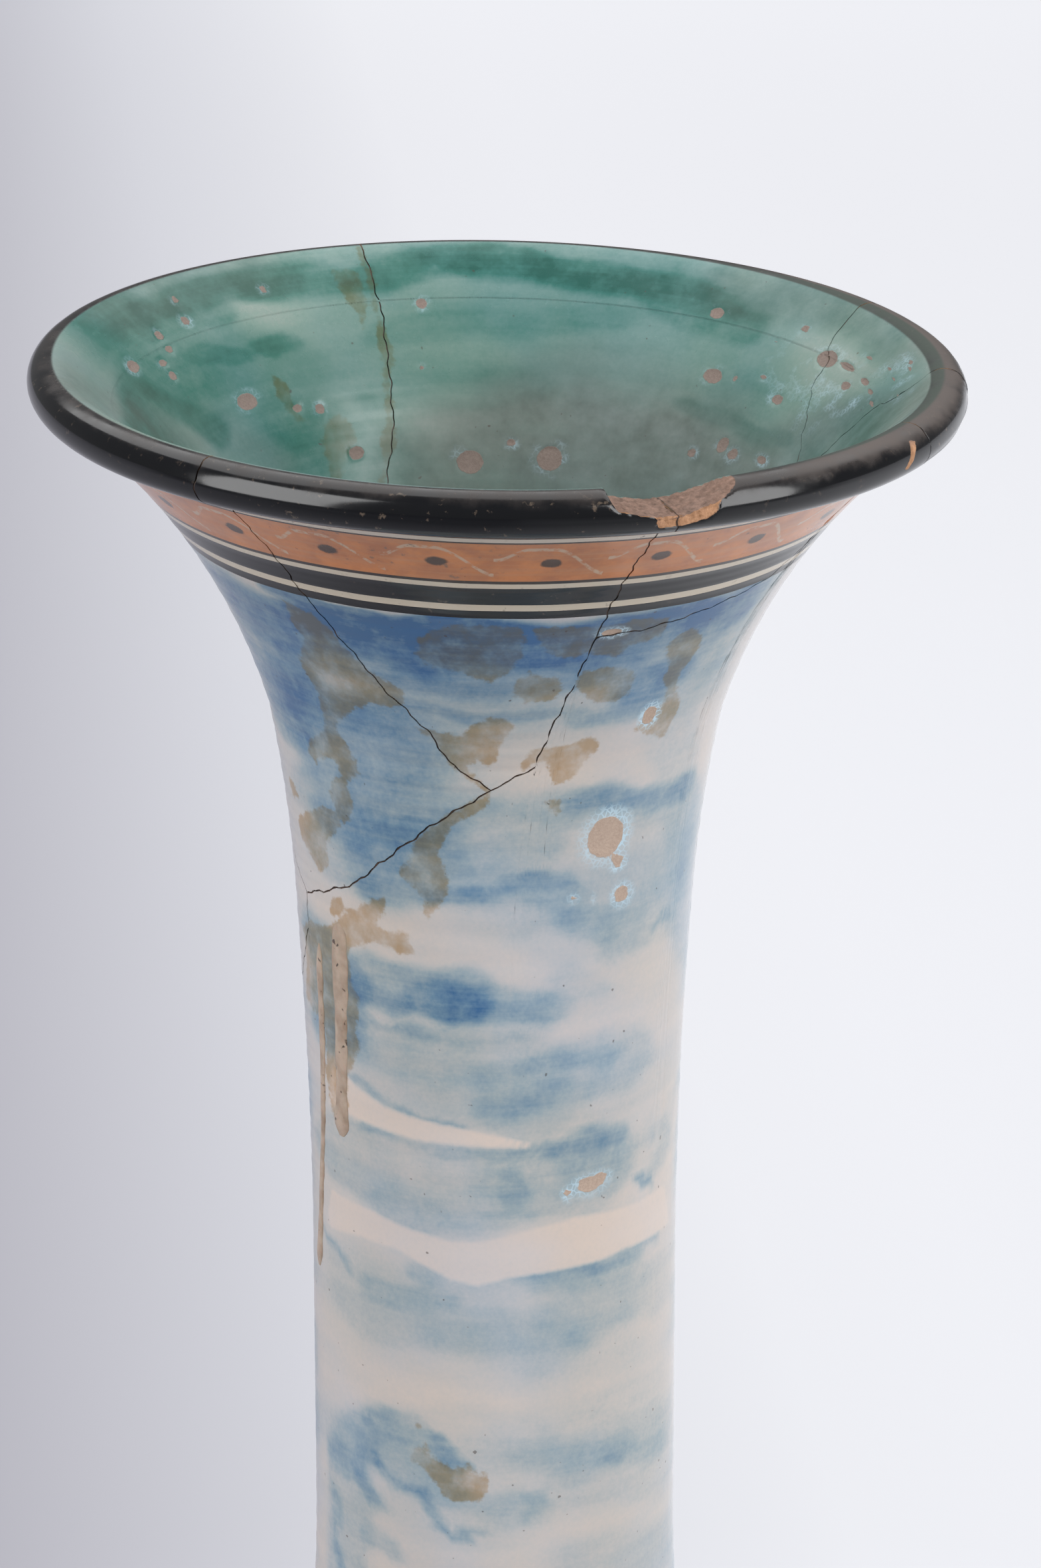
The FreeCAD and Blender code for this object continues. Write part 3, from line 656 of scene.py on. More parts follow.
STAINS_INSIDE = [
    [(495, 405), (522, 402), (540, 410), (552, 449), (550, 480), (547, 500), (540, 480),
     (530, 462), (516, 440), (504, 425)],
    [(540, 372), (556, 400), (570, 450), (580, 500), (592, 528), (594, 545), (588, 560),
     (590, 600), (594, 660), (586, 720), (572, 730), (574, 690), (578, 640), (576, 580),
     (572, 530), (562, 470), (548, 410), (534, 374)],
    [(413, 569), (432, 578), (440, 600), (450, 622), (463, 632), (448, 638), (430, 622), (418, 600)],
    [(487, 640), (510, 623), (530, 640), (537, 665), (522, 700), (510, 728), (496, 720),
     (490, 690), (483, 664)],
]
print(len(STAINS_OUTSIDE) + len(STAINS_INSIDE), "stains")

# %% Flakes where the glaze has come away, as a middle and two half sizes in pixels
FLAKES_OUTSIDE = [
    (912, 1260, 27, 30), (930, 1297, 9, 9), (936, 1346, 12, 12), (864, 1353, 5, 5),
    (893, 1351, 2, 3), (888, 1783, 20, 11), (904, 1774, 12, 8), (855, 1798, 6, 6),
    (978, 1077, 10, 13), (948, 1232, 3, 4),
    (921, 952, 15, 5),
]
FLAKES_INSIDE = [
    (264, 451, 7, 6), (278, 483, 8, 8), (395, 435, 6, 6), (240, 506, 7, 9), (255, 526, 6, 7),
    (201, 552, 10, 14), (245, 547, 7, 7), (260, 566, 6, 8), (372, 605, 16, 14), (447, 614, 8, 7),
    (482, 616, 8, 8), (537, 682, 12, 11), (708, 696, 20, 18), (770, 667, 8, 6), (635, 457, 9, 8),
    (635, 554, 4, 4), (828, 691, 19, 19), (1082, 471, 12, 9), (1214, 495, 8, 6), (1169, 516, 4, 3),
    (1246, 541, 17, 16), (1075, 566, 15, 12), (1108, 570, 4, 5), (1151, 568, 5, 4),
    (1171, 602, 9, 9), (1088, 670, 9, 13), (1104, 684, 8, 10), (1042, 682, 7, 7), (1147, 693, 8, 7),
    (1277, 552, 16, 5), (1310, 539, 7, 4), (1274, 581, 9, 8), (1303, 575, 9, 7), (1311, 590, 8, 6),
    (1339, 556, 6, 4), (1372, 545, 5, 4), (1366, 534, 5, 3), (1369, 556, 6, 3), (1376, 584, 8, 5),
    (1312, 608, 7, 5), (1345, 572, 6, 4), (1352, 596, 6, 4),
]
CHIPS = [
    [(1366, 662), (1378, 664), (1378, 689), (1366, 708), (1361, 708), (1371, 689), (1368, 669)],
]
DUST_AND_SHADE = [
    # dust with painted shade low in the mouth: strength, half width and fade in millimetres, and the line in
    # pixels
    (0.55, 4.0, 9.0, [(100, 585), (280, 700)]),
    (0.30, 4.0, 8.0, [(80, 560), (400, 730)]),
    (0.85, 10.0, 16.0, [(760, 690), (900, 690), (1010, 700)]),
    (0.45, 10.0, 16.0, [(900, 620), (1000, 640)]),
    (0.65, 6.0, 9.0, [(1180, 690), (1300, 650), (1390, 600)]),
    (0.35, 6.0, 10.0, [(180, 420), (300, 400)]),
    (0.40, 4.0, 8.0, [(1150, 430), (1300, 480), (1370, 520)]),
]
PIXELS_PER_MM = 6.3
FLAKE_LEAST = 0.5
FLAKE_STRETCH = 6
HALO_SHARE = 0.9
HALO_LEAST = 1.0


def add_flakes(field, halo, flakes, side, x, y, radius):
    """Egg-shaped flakes as signed distances, and the milky ring that each has round it."""
    flakes = np.array(flakes, float)
    middle, reach = flakes[:, :2], flakes[:, 2:]
    centres = traced(middle, side)
    ends = [traced(middle + reach * axis, side) - traced(middle - reach * axis, side)
            for axis in ((1, 0), (0, 1))]
    for centre, wide, high, size_px in zip(centres, *ends, reach):
        close = near(centre[None, :], x, y, radius, -FAR_OFF)
        if not close.any():
            continue
        least = size_px.mean() / PIXELS_PER_MM / radius[close].mean() * FLAKE_LEAST
        half = np.clip(np.array([abs(wide[0]), abs(high[1])]) / 2, least, least * FLAKE_STRETCH)
        away = np.hypot((x[close] - centre[0]) / half[0], (y[close] - centre[1]) / half[1])
        size = np.sqrt(half[0] * half[1]) * radius[close]
        signed = (1 - away) * size
        field[close] = np.maximum(field[close], signed)
        ring = 1 + signed / (HALO_SHARE * size + HALO_LEAST)
        halo[close] = np.maximum(halo[close], np.clip(ring, 0, 1))


print(len(FLAKES_OUTSIDE), "flakes outside,", len(FLAKES_INSIDE), "inside")

# %% Strokes of the same kind where the photograph does not reach
UNSEEN_ANGLE = 70.0
UNSEEN_DOWN = 105.0
UNSEEN_FADE = 20.0
PHOTO_FOOT = 392.0
FOOT_FADE = 25.0


def unseen(angle, down, side):
    """One where the photograph shows nothing of a side, zero where it shows the wall."""
    beyond = smooth((np.abs(from_middle(angle, side)) - UNSEEN_ANGLE) / UNSEEN_FADE)
    if side is INSIDE:
        return np.maximum(beyond, smooth((down - UNSEEN_DOWN) / UNSEEN_FADE))
    below = smooth((PHOTO_FOOT - look_up(side, "height", down)) / FOOT_FADE)
    return np.maximum(beyond, below)


# Sizes on the map: from where to where a stroke's length, slope, sag, half width and fade go
CLOUD_ALONG = 0.3
CLOUD_REACH = (0.8, 3.2)
CLOUD_SLOPE = (-0.08, 0.08)
CLOUD_SAG = (-0.10, 0.12)
CLOUD_WIDTH = (0.01, 0.10)
CLOUD_FADE = (0.06, 0.16)
CLOUD_POINTS = 7
NECK_CLOUDS = {"seed": 11, "count": 90, "strength": (0.10, 0.42)}
BODY_CLOUDS = {"seed": 17, "count": 46, "strength": (0.16, 0.5)}
BORDER_CLOUDS = {"seed": 5, "count": 26, "strength": (0.35, 0.7)}
MOUTH_CLOUDS = {"seed": 23, "count": 40, "strength": (0.15, 0.5)}
# Where they lie: shares of the map's depth at the border's foot or at the axis, or heights
BORDER_FOOT = 34.0
NECK_END = 0.62
BORDER_LEVELS = (0.98, 1.2)
BORDER_REACH, BORDER_FADE = 1.35, 0.25
MOUTH_START, MOUTH_LEVELS = 0.15, 3
BODY_HEIGHTS = [290.0, 15.0]
BODY_FADE = 0.3


def cloud_strokes(depth, seed, count, strength):
    """Long level strokes in map units: each starts anywhere, sags in the middle and fades."""
    random = np.random.default_rng(seed)
    share = np.linspace(0, 1, CLOUD_POINTS)
    for _ in range(count):
        start, reach = random.uniform(-np.pi, np.pi), random.uniform(*CLOUD_REACH)
        level, slope, sag = (random.uniform(*span) for span in (depth, CLOUD_SLOPE, CLOUD_SAG))
        line = np.stack([start + reach * share, level + slope * share + sag * np.sin(np.pi * share)], axis=1)
        yield (line, *(random.uniform(*span) for span in (strength, CLOUD_WIDTH, CLOUD_FADE)))


def add_clouds(density, x, y, weight, depth, **clouds):
    """Lays the loop's strokes where the weight says, once more a full turn to either side."""
    layer = np.zeros_like(density)
    squeeze = np.array([CLOUD_ALONG, 1.0])
    for line, *brush in cloud_strokes(depth, **clouds):
        for turn in (-2 * np.pi, 0, 2 * np.pi):
            moved = line + np.array([turn, 0])
            layer = laid_over(layer, from_line(moved * squeeze, x * CLOUD_ALONG, y), *brush)
    return density * (1 - weight) + layer * weight


print(f"strokes are made up beyond {UNSEEN_ANGLE:.0f} degrees from the middle of the view")

# %% [markdown]
# ## The chip in the lip
# A blow took a scoop out of the front of the lip and a deeper bite beside it. A boolean
# would cut them, but it would also cut the tidy grid of the lip. Pressing every point that
# lies beyond a slanting plane back onto that plane gives the same flat fracture, and the
# distance to the plane tells the material where the bare clay is.

# %% The planes of the chip
CHIP_ANGLES = [11.8, 13.0, 14.0, 17.9, 20.0, 23.2, 26.6, 29.8, 32.0]
CHIP_DEPTHS = [-2.5, 0.0, 3.6, 5.3, 6.3, 5.8, 3.4, 0.4, -2.5]
BITE_ANGLES = [17.6, 18.6, 19.0, 22.0, 25.2, 27.0, 29.0]
BITE_DEPTHS = [-3.0, -0.2, 2.4, 2.3, 1.3, -0.1, -3.0]
CHIP_SLANT = np.radians(2)
BITE_SLANT = np.radians(70)
CHIP_REACH = 3 * ROLL
CHIP_ROUGH_FROM = 0.3
CHIP_ROUGHNESS = 0.28


def beyond_plane(places, angles, depths, slant):
    """How far points stand beyond a plane that leans outwards and cuts off a depth of the lip."""
    angle = np.degrees(np.arctan2(places[:, 0], -places[:, 1]))
    radius = np.hypot(places[:, 0], places[:, 1])
    cut = ROLL - np.interp(angle, angles, depths, left=FAR_OFF, right=FAR_OFF)
    out = (radius - LIP_RADIUS) * np.sin(slant) + (places[:, 2] - LIP_HEIGHT) * np.cos(slant)
    return np.where(np.abs(out) < CHIP_REACH, out - cut, FAR_OFF)


def chip(places):
    """Presses the points beyond each plane back onto it, and returns how far the worst stood."""
    worst = np.full(len(places), FAR_OFF)
    for angles, depths, slant in ((CHIP_ANGLES, CHIP_DEPTHS, CHIP_SLANT),
                                  (BITE_ANGLES, BITE_DEPTHS, BITE_SLANT)):
        over = beyond_plane(places, angles, depths, slant)
        rough = (CHIP_ROUGHNESS * np.sin(places[:, 0] * 2.1 + 1.3)
                 * np.sin(places[:, 1] * 1.7 + places[:, 0] * 0.6))
        press = np.maximum(over, 0) + np.where(over > CHIP_ROUGH_FROM, rough, 0)
        radius = np.maximum(np.hypot(places[:, 0], places[:, 1]), 1)
        places[:, 0] -= press * np.sin(slant) * places[:, 0] / radius
        places[:, 1] -= press * np.sin(slant) * places[:, 1] / radius
        places[:, 2] -= press * np.cos(slant)
        worst = np.maximum(worst, over)
    return worst


print(f"the chip runs from {CHIP_ANGLES[1]} to {CHIP_ANGLES[-2]} degrees")

# %% [markdown]
# ## From parameters to a wall with its paint
# One function takes angles and distances from the crest and gives places and paint. It
# adds what a potter's hands and years of use leave: faint throwing rings, and hollows one
# third of a millimetre deep where the glaze has flaked off.

# %% The wall
RING_WAVES = ((0.05, 7.3), (0.03, 3.1))
RINGS_FROM, RINGS_LEAST_RADIUS, RINGS_FADE = 30, 20, 20
FLAKE_DEPTH = 0.35
FLAKE_EDGE, FLAKE_SLOPE = 0.1, 0.5
FADE_SHARE = 1.2
# Distance from the crest; shares of wash, halo, core, and dust with painted shade; the others are signed
# distances
FIELDS = ("along", "wash", "bare", "stain", "flake", "halo", "clay", "core", "dust")


def paint(angle, down, side, fields, chosen):
    """Works out the paint of one side at the chosen points and writes it into the fields."""
    x, y = on_map(angle, down, side)
    radius = np.maximum(look_up(side, "radius", down), MAP_LEAST_RADIUS)
    strokes, bare, stains, flakes = (
        (COBALT, BARE_OUTSIDE, STAINS_OUTSIDE, FLAKES_OUTSIDE) if side is OUTSIDE
        else (COPPER, [], STAINS_INSIDE, FLAKES_INSIDE))
    wash, dust = np.zeros(len(x)), np.zeros(len(x))
    shaken = wobbled(x, y)
    for strength, width, fade, pixels in strokes:
        add_wash(wash, traced(pixels, side), *shaken, radius, strength, width, fade * FADE_SHARE)
    # inside the mouth: dust, and painted shade low down in it
    if side is INSIDE:
        for strength, width, fade, pixels in DUST_AND_SHADE:
            add_wash(dust, traced(pixels, side), *shaken, radius, strength, width, fade)
    weight = unseen(angle, down, side)
    top = look_up(side, "map", BORDER_FOOT)
    if side is OUTSIDE:
        body = look_up(side, "map", down_to(side, BODY_HEIGHTS))
        on_body = smooth((y - body[0]) / BODY_FADE)
        at_border = smooth((BORDER_REACH - y / top) / BORDER_FADE)
        border = [top * share for share in BORDER_LEVELS]
        wash = add_clouds(wash, *shaken, weight, (top, side["map"][-1] * NECK_END), **NECK_CLOUDS)
        wash = add_clouds(wash, *shaken, on_body, body, **BODY_CLOUDS)
        wash = add_clouds(wash, *shaken, weight * at_border, border, **BORDER_CLOUDS)
    else:
        wash = add_clouds(wash, *shaken, weight, (MOUTH_START, top * MOUTH_LEVELS), **MOUTH_CLOUDS)
    levels = {"bare": bare, "stain": stains, "clay": CHIPS if side is OUTSIDE else []}
    for name, loops in levels.items():
        field = np.full(len(x), FAR_OFF)
        for pixels in loops:
            add_loop(field, traced(pixels, side), x, y, radius)
        fields[name][chosen] = field
    flake, halo = np.full(len(x), FAR_OFF), np.zeros(len(x))
    add_flakes(flake, halo, flakes, side, x, y, radius)
    for strength, width, fade, pixels in MILK if side is INSIDE else []:
        add_wash(halo, traced(pixels, side), *shaken, radius, strength, width, fade)
    for name, values in (("flake", flake), ("halo", halo), ("wash", wash), ("dust", dust)):
        fields[name][chosen] = values


def round_axis(turn, radius, height):
    """A place: the radius times the sine of the turn to the right, less the radius times its
    cosine back, at a height."""
    return np.stack([radius * np.sin(turn), -radius * np.cos(turn), height], axis=-1)


def wall(angle, along):
    """Places in millimetres and paint for angles in degrees and signed distances from the crest."""
    fields = {name: np.zeros(len(angle)) for name in FIELDS}
    fields["along"] = along
    radius, height = np.zeros(len(angle)), np.zeros(len(angle))
    for side, chosen, outwards in ((OUTSIDE, along >= 0, 1), (INSIDE, along < 0, -1)):
        down = np.abs(along[chosen])
        paint(angle[chosen], down, side, fields, chosen)
        rings = sum(size * np.sin(2 * np.pi * down / wave) for size, wave in RING_WAVES)
        plain = look_up(side, "radius", down)
        rings *= smooth((down - RINGS_FROM) / RINGS_FADE) * smooth((plain - RINGS_LEAST_RADIUS) / RINGS_FADE)
        pits = FLAKE_DEPTH * smooth((fields["flake"][chosen] + FLAKE_EDGE) / FLAKE_SLOPE)
        radius[chosen] = plain + outwards * (rings - pits)
        height[chosen] = look_up(side, "height", down)
    places = round_axis(np.radians(angle), radius, height)
    fields["clay"] = np.maximum(fields["clay"], chip(places))
    return slump(places), fields


sample, _ = wall(np.array([0.0, 90.0]), np.array([10.0, -10.0]))
print("two places on the lip:", np.round(sample, 1).tolist())

# %% [markdown]
# ## Sherds
# Each sherd is a strip of wall between two breaks that start together and end in a tip,
# so its grid runs from one break to the other in rows. The same rows make the outside and
# the inside, and strips of broken clay join them along both breaks. Merging the points
# that fall together closes the lip and the tips.

# %% Faces of a grid
def quads(table, closed=False):
    """Four-sided faces between neighbouring rows and columns of a table of point numbers."""
    table = np.concatenate([table, table[:, :1]], axis=1) if closed else table
    corners = (table[:-1, :-1], table[:-1, 1:], table[1:, 1:], table[1:, :-1])
    return np.stack(corners, axis=-1).reshape(-1, 4)


def grid_faces(start, rows, columns, closed=False):
    """The faces of a grid whose points are numbered row by row from a start."""
    return quads(start + np.arange(rows * columns).reshape(rows, columns), closed)


print("a grid of 3 by 4 points has", len(grid_faces(0, 3, 4)), "faces")

# %% Breaks joined into longer lines
def joined(*parts):
    """Breaks end to end as one line; a name with a minus sign is followed backwards."""
    angle, down = [], []
    for part in parts:
        turn = -1 if part.startswith("-") else 1
        part_angle, part_down = (values[::turn] for values in breaks[part.lstrip("-")])
        if angle:
            full_turns = round((part_angle[0] - angle[-1][-1]) / 360)
            part_angle, part_down = part_angle[1:] - 360 * full_turns, part_down[1:]
        angle.append(part_angle)
        down.append(part_down)
    return np.concatenate(angle), np.concatenate(down)


def resampled(line, marks):
    """The line at marks, which are distances from its start along it."""
    length = length_along(*line)
    return np.interp(marks, length, line[0]), np.interp(marks, length, line[1])


print("round the left sherd below:", len(joined("lower_left", "left_side")[0]), "points")

# %% A mesh from places, faces and fields
SHARP_FROM = np.radians(50)
# In metres, as the meshes are: points this near are one, and edges this short are none
ONE_POINT, NO_EDGE = 2e-6, 1e-7


def add_mesh(name, places, faces, fields, material):
    """A mesh object at the origin, its doubles merged and its faces turned outwards."""
    mesh = bpy.data.meshes.new(name)
    mesh.from_pydata((places * MM).tolist(), [], [face for group in faces for face in group.tolist()])
    for label, values in fields.items():
        attribute = mesh.attributes.new(label, "FLOAT", "POINT")
        attribute.data.foreach_set("value", np.ascontiguousarray(values, np.float32))
    work = bmesh.new()
    work.from_mesh(mesh)
    bmesh.ops.remove_doubles(work, verts=work.verts, dist=ONE_POINT)
    bmesh.ops.dissolve_degenerate(work, edges=work.edges, dist=NO_EDGE)
    bmesh.ops.recalc_face_normals(work, faces=work.faces)
    open_edges = sum(not edge.is_manifold for edge in work.edges)
    work.to_mesh(mesh)
    work.free()
    mesh.polygons.foreach_set("use_smooth", np.ones(len(mesh.polygons), bool))
    mesh.set_sharp_from_angle(angle=SHARP_FROM)
    mesh.materials.append(material)
    piece = in_scene(name, mesh)
    triangles = sum(len(face.vertices) - 2 for face in mesh.polygons)
    print(f"{name}: {len(mesh.vertices)} points, {triangles} triangles, {open_edges} open edges")
    return piece


print(f"edges from {np.degrees(SHARP_FROM):.0f} degrees up stay sharp")

# %% The broken clay between the two faces of the wall
CORE_STEPS = 4
THIN_EDGE = 0.5


def picked(part, index):
    """Some points of a part, with their fields."""
    return part[0][index], {name: values[index] for name, values in part[1].items()}


def core_strip(wall_part, outer_index, inner_index, start, closed=False):
    """Points through the thickness of the wall along a break, and the faces that they carry."""
    outer, fields_outer = picked(wall_part, outer_index)
    inner, _ = picked(wall_part, inner_index)
    share = np.linspace(0, 1, CORE_STEPS + 1)[1:-1]
    places = outer[None] + (inner - outer)[None] * share[:, None, None]
    fields = {name: np.tile(values, len(share)) for name, values in fields_outer.items()}
    thick = np.linalg.norm(inner - outer, axis=1) > THIN_EDGE
    fields["core"] = np.tile(thick.astype(float), len(share))
    between = start + np.arange(len(share) * len(outer)).reshape(len(share), -1)
    faces = quads(np.concatenate([outer_index[None], between, inner_index[None]]), closed)
    return (places.reshape(-1, 3), fields), faces


def stacked(parts):
    """Joins the places and the fields of several parts."""
    places = np.concatenate([part[0] for part in parts])
    fields = {name: np.concatenate([part[1][name] for part in parts]) for name in FIELDS}
    return places, fields


print("rows of points within the wall's thickness:", CORE_STEPS - 1)

# %% A sherd
HALF_GAP = 0.2
LIP_ROWS_END = 14.0
# Keeps the crest's row of the inside on the inside
OFF_CREST = 1e-4


def sherd(name, left_breaks, right_breaks, step, material):
    """A sherd between two lines of breaks; both start at the lip or at one tip."""
    left = beside(*joined(*left_breaks), HALF_GAP)
    right = beside(*joined(*right_breaks), -HALF_GAP)
    right = (right[0] - 360 * np.floor((right[0][0] - left[0][0] + 1) / 360), right[1])
    from_lip = left[1][0] < 1
    lip_end = LIP_ROWS_END if from_lip else 0.0
    spans = [length_along(*line)[-1] for line in (left, right)]
    lip_marks = np.linspace(0, lip_end, int(lip_end / step), endpoint=False)
    rest_rows = int((max(spans) - lip_end) / step)
    (left_angle, left_down), (right_angle, right_down) = (
        resampled(line, np.concatenate([lip_marks, np.linspace(lip_end, span, rest_rows)]))
        for line, span in zip((left, right), spans))
    crossed = left_angle > right_angle
    crossed[-1] = True
    crossed[0] |= not from_lip
    middle = (left_angle + right_angle) / 2
    level = (left_down + right_down) / 2
    left_angle, right_angle = np.where(crossed, middle, left_angle), np.where(crossed, middle, right_angle)
    left_down, right_down = np.where(crossed, level, left_down), np.where(crossed, level, right_down)
    if from_lip:
        left_down[0] = right_down[0] = 0.0
    radius = look_up(OUTSIDE, "radius", left_down)
    columns = int(np.radians(right_angle - left_angle).max() * radius.max() / step) + 2
    share = np.linspace(0, 1, columns)[None, :]
    rows = len(left_angle)
    angle = left_angle[:, None] + (right_angle - left_angle)[:, None] * share
    parts, faces = [], []
    for side, sign in ((OUTSIDE, 1), (INSIDE, -1)):
        ends = [down_to(side, look_up(OUTSIDE, "height", down)) for down in (left_down, right_down)]
        if from_lip:
            ends[0][0] = ends[1][0] = 0.0
        down = ends[0][:, None] + (ends[1] - ends[0])[:, None] * share
        parts.append(wall(angle.ravel(), sign * np.maximum(down.ravel(), OFF_CREST)))
        faces.append(grid_faces(len(faces) * rows * columns, rows, columns))
    both_faces = stacked(parts)
    parts = [both_faces]
    for column in (0, columns - 1):
        index = np.arange(rows) * columns + column
        start = sum(len(part[0]) for part in parts)
        strip, strip_faces = core_strip(both_faces, index, rows * columns + index, start)
        parts.append(strip)
        faces.append(strip_faces)
    places, fields = stacked(parts)
    return add_mesh(name, places, faces, fields, material)


print("each sherd stands", HALF_GAP, "mm back from its breaks")

# %% [markdown]
# ## The finish: tin glaze over buff clay
# Tin glaze is a white lead glass clouded with tin ash. It is smooth, so it shines, and the
# paint lies in it rather than on it, so all colours share one gloss. Where it has flaked,
# the clay underneath is matt and sandy. One material does both: the fields of the wall
# say where each is, and noise fine enough to see from a step away breaks up every edge.

# %% Colours, and one function that adds a node
def colour(code):
    """An sRGB hex colour as linear light: the sRGB curve undone on each channel.

    Anything but a text comes back as it is.
    """
    if not isinstance(code, str):
        return code
    levels = [int(code[place:place + 2], 16) / 255 for place in (1, 3, 5)]
    return tuple(level / 12.92 if level <= 0.04045 else ((level + 0.055) / 1.055) ** 2.4
                 for level in levels) + (1.0,)


def add(tree, kind, *values, stops=None, ramp="LINEAR", named=None, output=None, **settings):
    """Adds a node with its settings, gives its inputs values or links, and returns an output.

    Only the inputs in use count, in their order, as a node hides the others. A value that
    is text is a hex colour. The stops of a colour ramp are pairs of a place and a colour,
    in rising order.
    """
    made = tree.nodes.new(kind)
    for name, value in settings.items():
        setattr(made, name, value)
    used = [socket for socket in made.inputs if socket.enabled]
    given = list(zip(used, values)) + [(made.inputs[name], value) for name, value in (named or {}).items()]
    for socket, value in given:
        if isinstance(value, bpy.types.NodeSocket):
            tree.links.new(value, socket)
        else:
            socket.default_value = colour(value)
    if stops:
        elements = made.color_ramp.elements
        elements[0].position, elements[0].color = stops[0][0], colour(stops[0][1])
        elements[1].position, elements[1].color = stops[-1][0], colour(stops[-1][1])
        for place, value in stops[1:-1]:
            elements.new(place).color = colour(value)
        made.color_ramp.interpolation = ramp
    if output is None:
        return next((socket for socket in made.outputs if socket.enabled), None)
    return made.outputs[output]


def blank(name):
    """A new material, and its tree with no nodes in it yet."""
    material = bpy.data.materials.new(name)
    material.use_nodes = True
    material.node_tree.nodes.clear()
    return material, material.node_tree


MATH, NOISE, RANGE, MIX, RAMP = ("ShaderNodeMath", "ShaderNodeTexNoise", "ShaderNodeMapRange",
                                 "ShaderNodeMix", "ShaderNodeValToRGB")
VECTOR, SPLIT, GATHER = "ShaderNodeVectorMath", "ShaderNodeSeparateXYZ", "ShaderNodeCombineXYZ"
PLACES, RAYS, BUMP = "ShaderNodeTexCoord", "ShaderNodeLightPath", "ShaderNodeBump"
GLOSS, RESULT = "ShaderNodeBsdfPrincipled", "ShaderNodeOutputMaterial"
TIMES, TIMES_PLUS = {"operation": "MULTIPLY"}, {"operation": "MULTIPLY_ADD"}
SOFT, TONES = {"interpolation_type": "SMOOTHSTEP"}, {"data_type": "RGBA"}
print("one helper adds every node")

# %% The glaze's material: where each point of the wall is, and the wall's fields
# Opaque white lead glaze, fired glossy, with oxide paint sunk into it, over sandy clay
glazed, tree = blank("tin_glaze_on_buff_clay")
field = {name: add(tree, "ShaderNodeAttribute", output="Fac", attribute_name=name) for name in FIELDS}
along = field["along"]
place = add(tree, PLACES, output="Object")
east = add(tree, SPLIT, place, output="X")
north = east.node.outputs["Y"]
south = add(tree, MATH, north, -1.0, **TIMES)
turn = add(tree, MATH, east, south, operation="ARCTAN2")
run = add(tree, MATH, along, MM, **TIMES)
wheel = add(tree, GATHER, east, north, run)
normal = add(tree, "ShaderNodeNewGeometry", output="Normal")
facing = add(tree, SPLIT, normal, output="Z")
inside = add(tree, RANGE, along, 0.5, -0.5, **SOFT)
print("the glaze reads", ", ".join(field))

# %% Noise by size, as waves to the metre, detail and roughness
NOISES = {
    "grain": (900.0, 2.0, 0.6),  # pigment grain of 1.1 mm
    "mottle": (120.0, 4.0, 0.6),  # mottling of 8 mm
    "cloud": (22.0, 3.0, 0.5),  # warm and cool clouds of 45 mm
    "fray": (420.0, 3.0, 0.65),  # ragged edges of 2.4 mm
    "slow": (60.0, 2.0),  # the painter's hand, 17 mm
    "sand": (1500.0, 2.0, 0.7),  # sand in the clay, 0.7 mm
    "lumps": (520.0, 5.0, 0.75),  # broken clay, 2 mm
    "pits": (760.0, 0.0),  # pinholes about 1.3 mm apart, of which few open
}
BRUSHED = {
    # waves to the metre across and down, and then detail and roughness
    "hairs": ((24.0, 24.0, 620.0), 4.0, 0.62),
    "veil": ((9.0, 9.0, 62.0), 3.0, 0.55),
}
noise = {name: add(tree, NOISE, place, *values) for name, values in NOISES.items()}
for name, (waves, *values) in BRUSHED.items():
    noise[name] = add(tree, NOISE, add(tree, VECTOR, wheel, waves, **TIMES), 1.0, *values)
mottle, fray, sand = noise["mottle"], noise["fray"], noise["sand"]
frayed = add(tree, MATH, fray, 3.0, -1.5, **TIMES_PLUS)
print(len(noise), "noises")

# %% The wash: brush hairs and mottling vary it, a thin veil lies everywhere, bare ribbons cut it
hair_share = add(tree, MATH, noise["hairs"], 0.55, 0.73, **TIMES_PLUS)
mottle_share = add(tree, MATH, mottle, 1.3, 0.35, **TIMES_PLUS)
share = add(tree, MATH, hair_share, mottle_share, **TIMES)
laid = add(tree, MATH, field["wash"], share, **TIMES)
thin = add(tree, RANGE, noise["veil"], 0.36, 0.66, 0.10, 0.30)
open_share = add(tree, MATH, 1.0, laid, operation="SUBTRACT")
density = add(tree, MATH, thin, open_share, laid, **TIMES_PLUS)
bare_edge = add(tree, MATH, frayed, 0.3, field["bare"], **TIMES_PLUS)
bare = add(tree, RANGE, bare_edge, -0.8, 0.8, 1.0, 0.06, **SOFT)
density = add(tree, MATH, density, bare, **TIMES)
density = add(tree, MATH, noise["grain"], 0.18, density, **TIMES_PLUS)
density = add(tree, MATH, density, 0.09, operation="SUBTRACT")
cobalt = add(tree, RAMP, density, stops=[
    (0.0, "#CBC1BB"), (0.28, "#B5B6B7"), (0.52, "#92A3AC"), (0.76, "#67869E"), (1.0, "#3A638E")])
copper = add(tree, RAMP, density, stops=[
    (0.0, "#929E9B"), (0.3, "#708C86"), (0.5, "#587D77"), (0.72, "#366B62"), (0.95, "#21554B")])
glaze = add(tree, MIX, inside, cobalt, copper, **TONES)
warm = add(tree, RANGE, noise["cloud"], 0.35, 0.7, **SOFT)
tint = add(tree, MIX, warm, "#FFF9F3", "#F6F9FF", **TONES)
glaze = add(tree, MIX, 1.0, glaze, tint, **TONES, blend_type="MULTIPLY")
print("cobalt outside, copper inside")

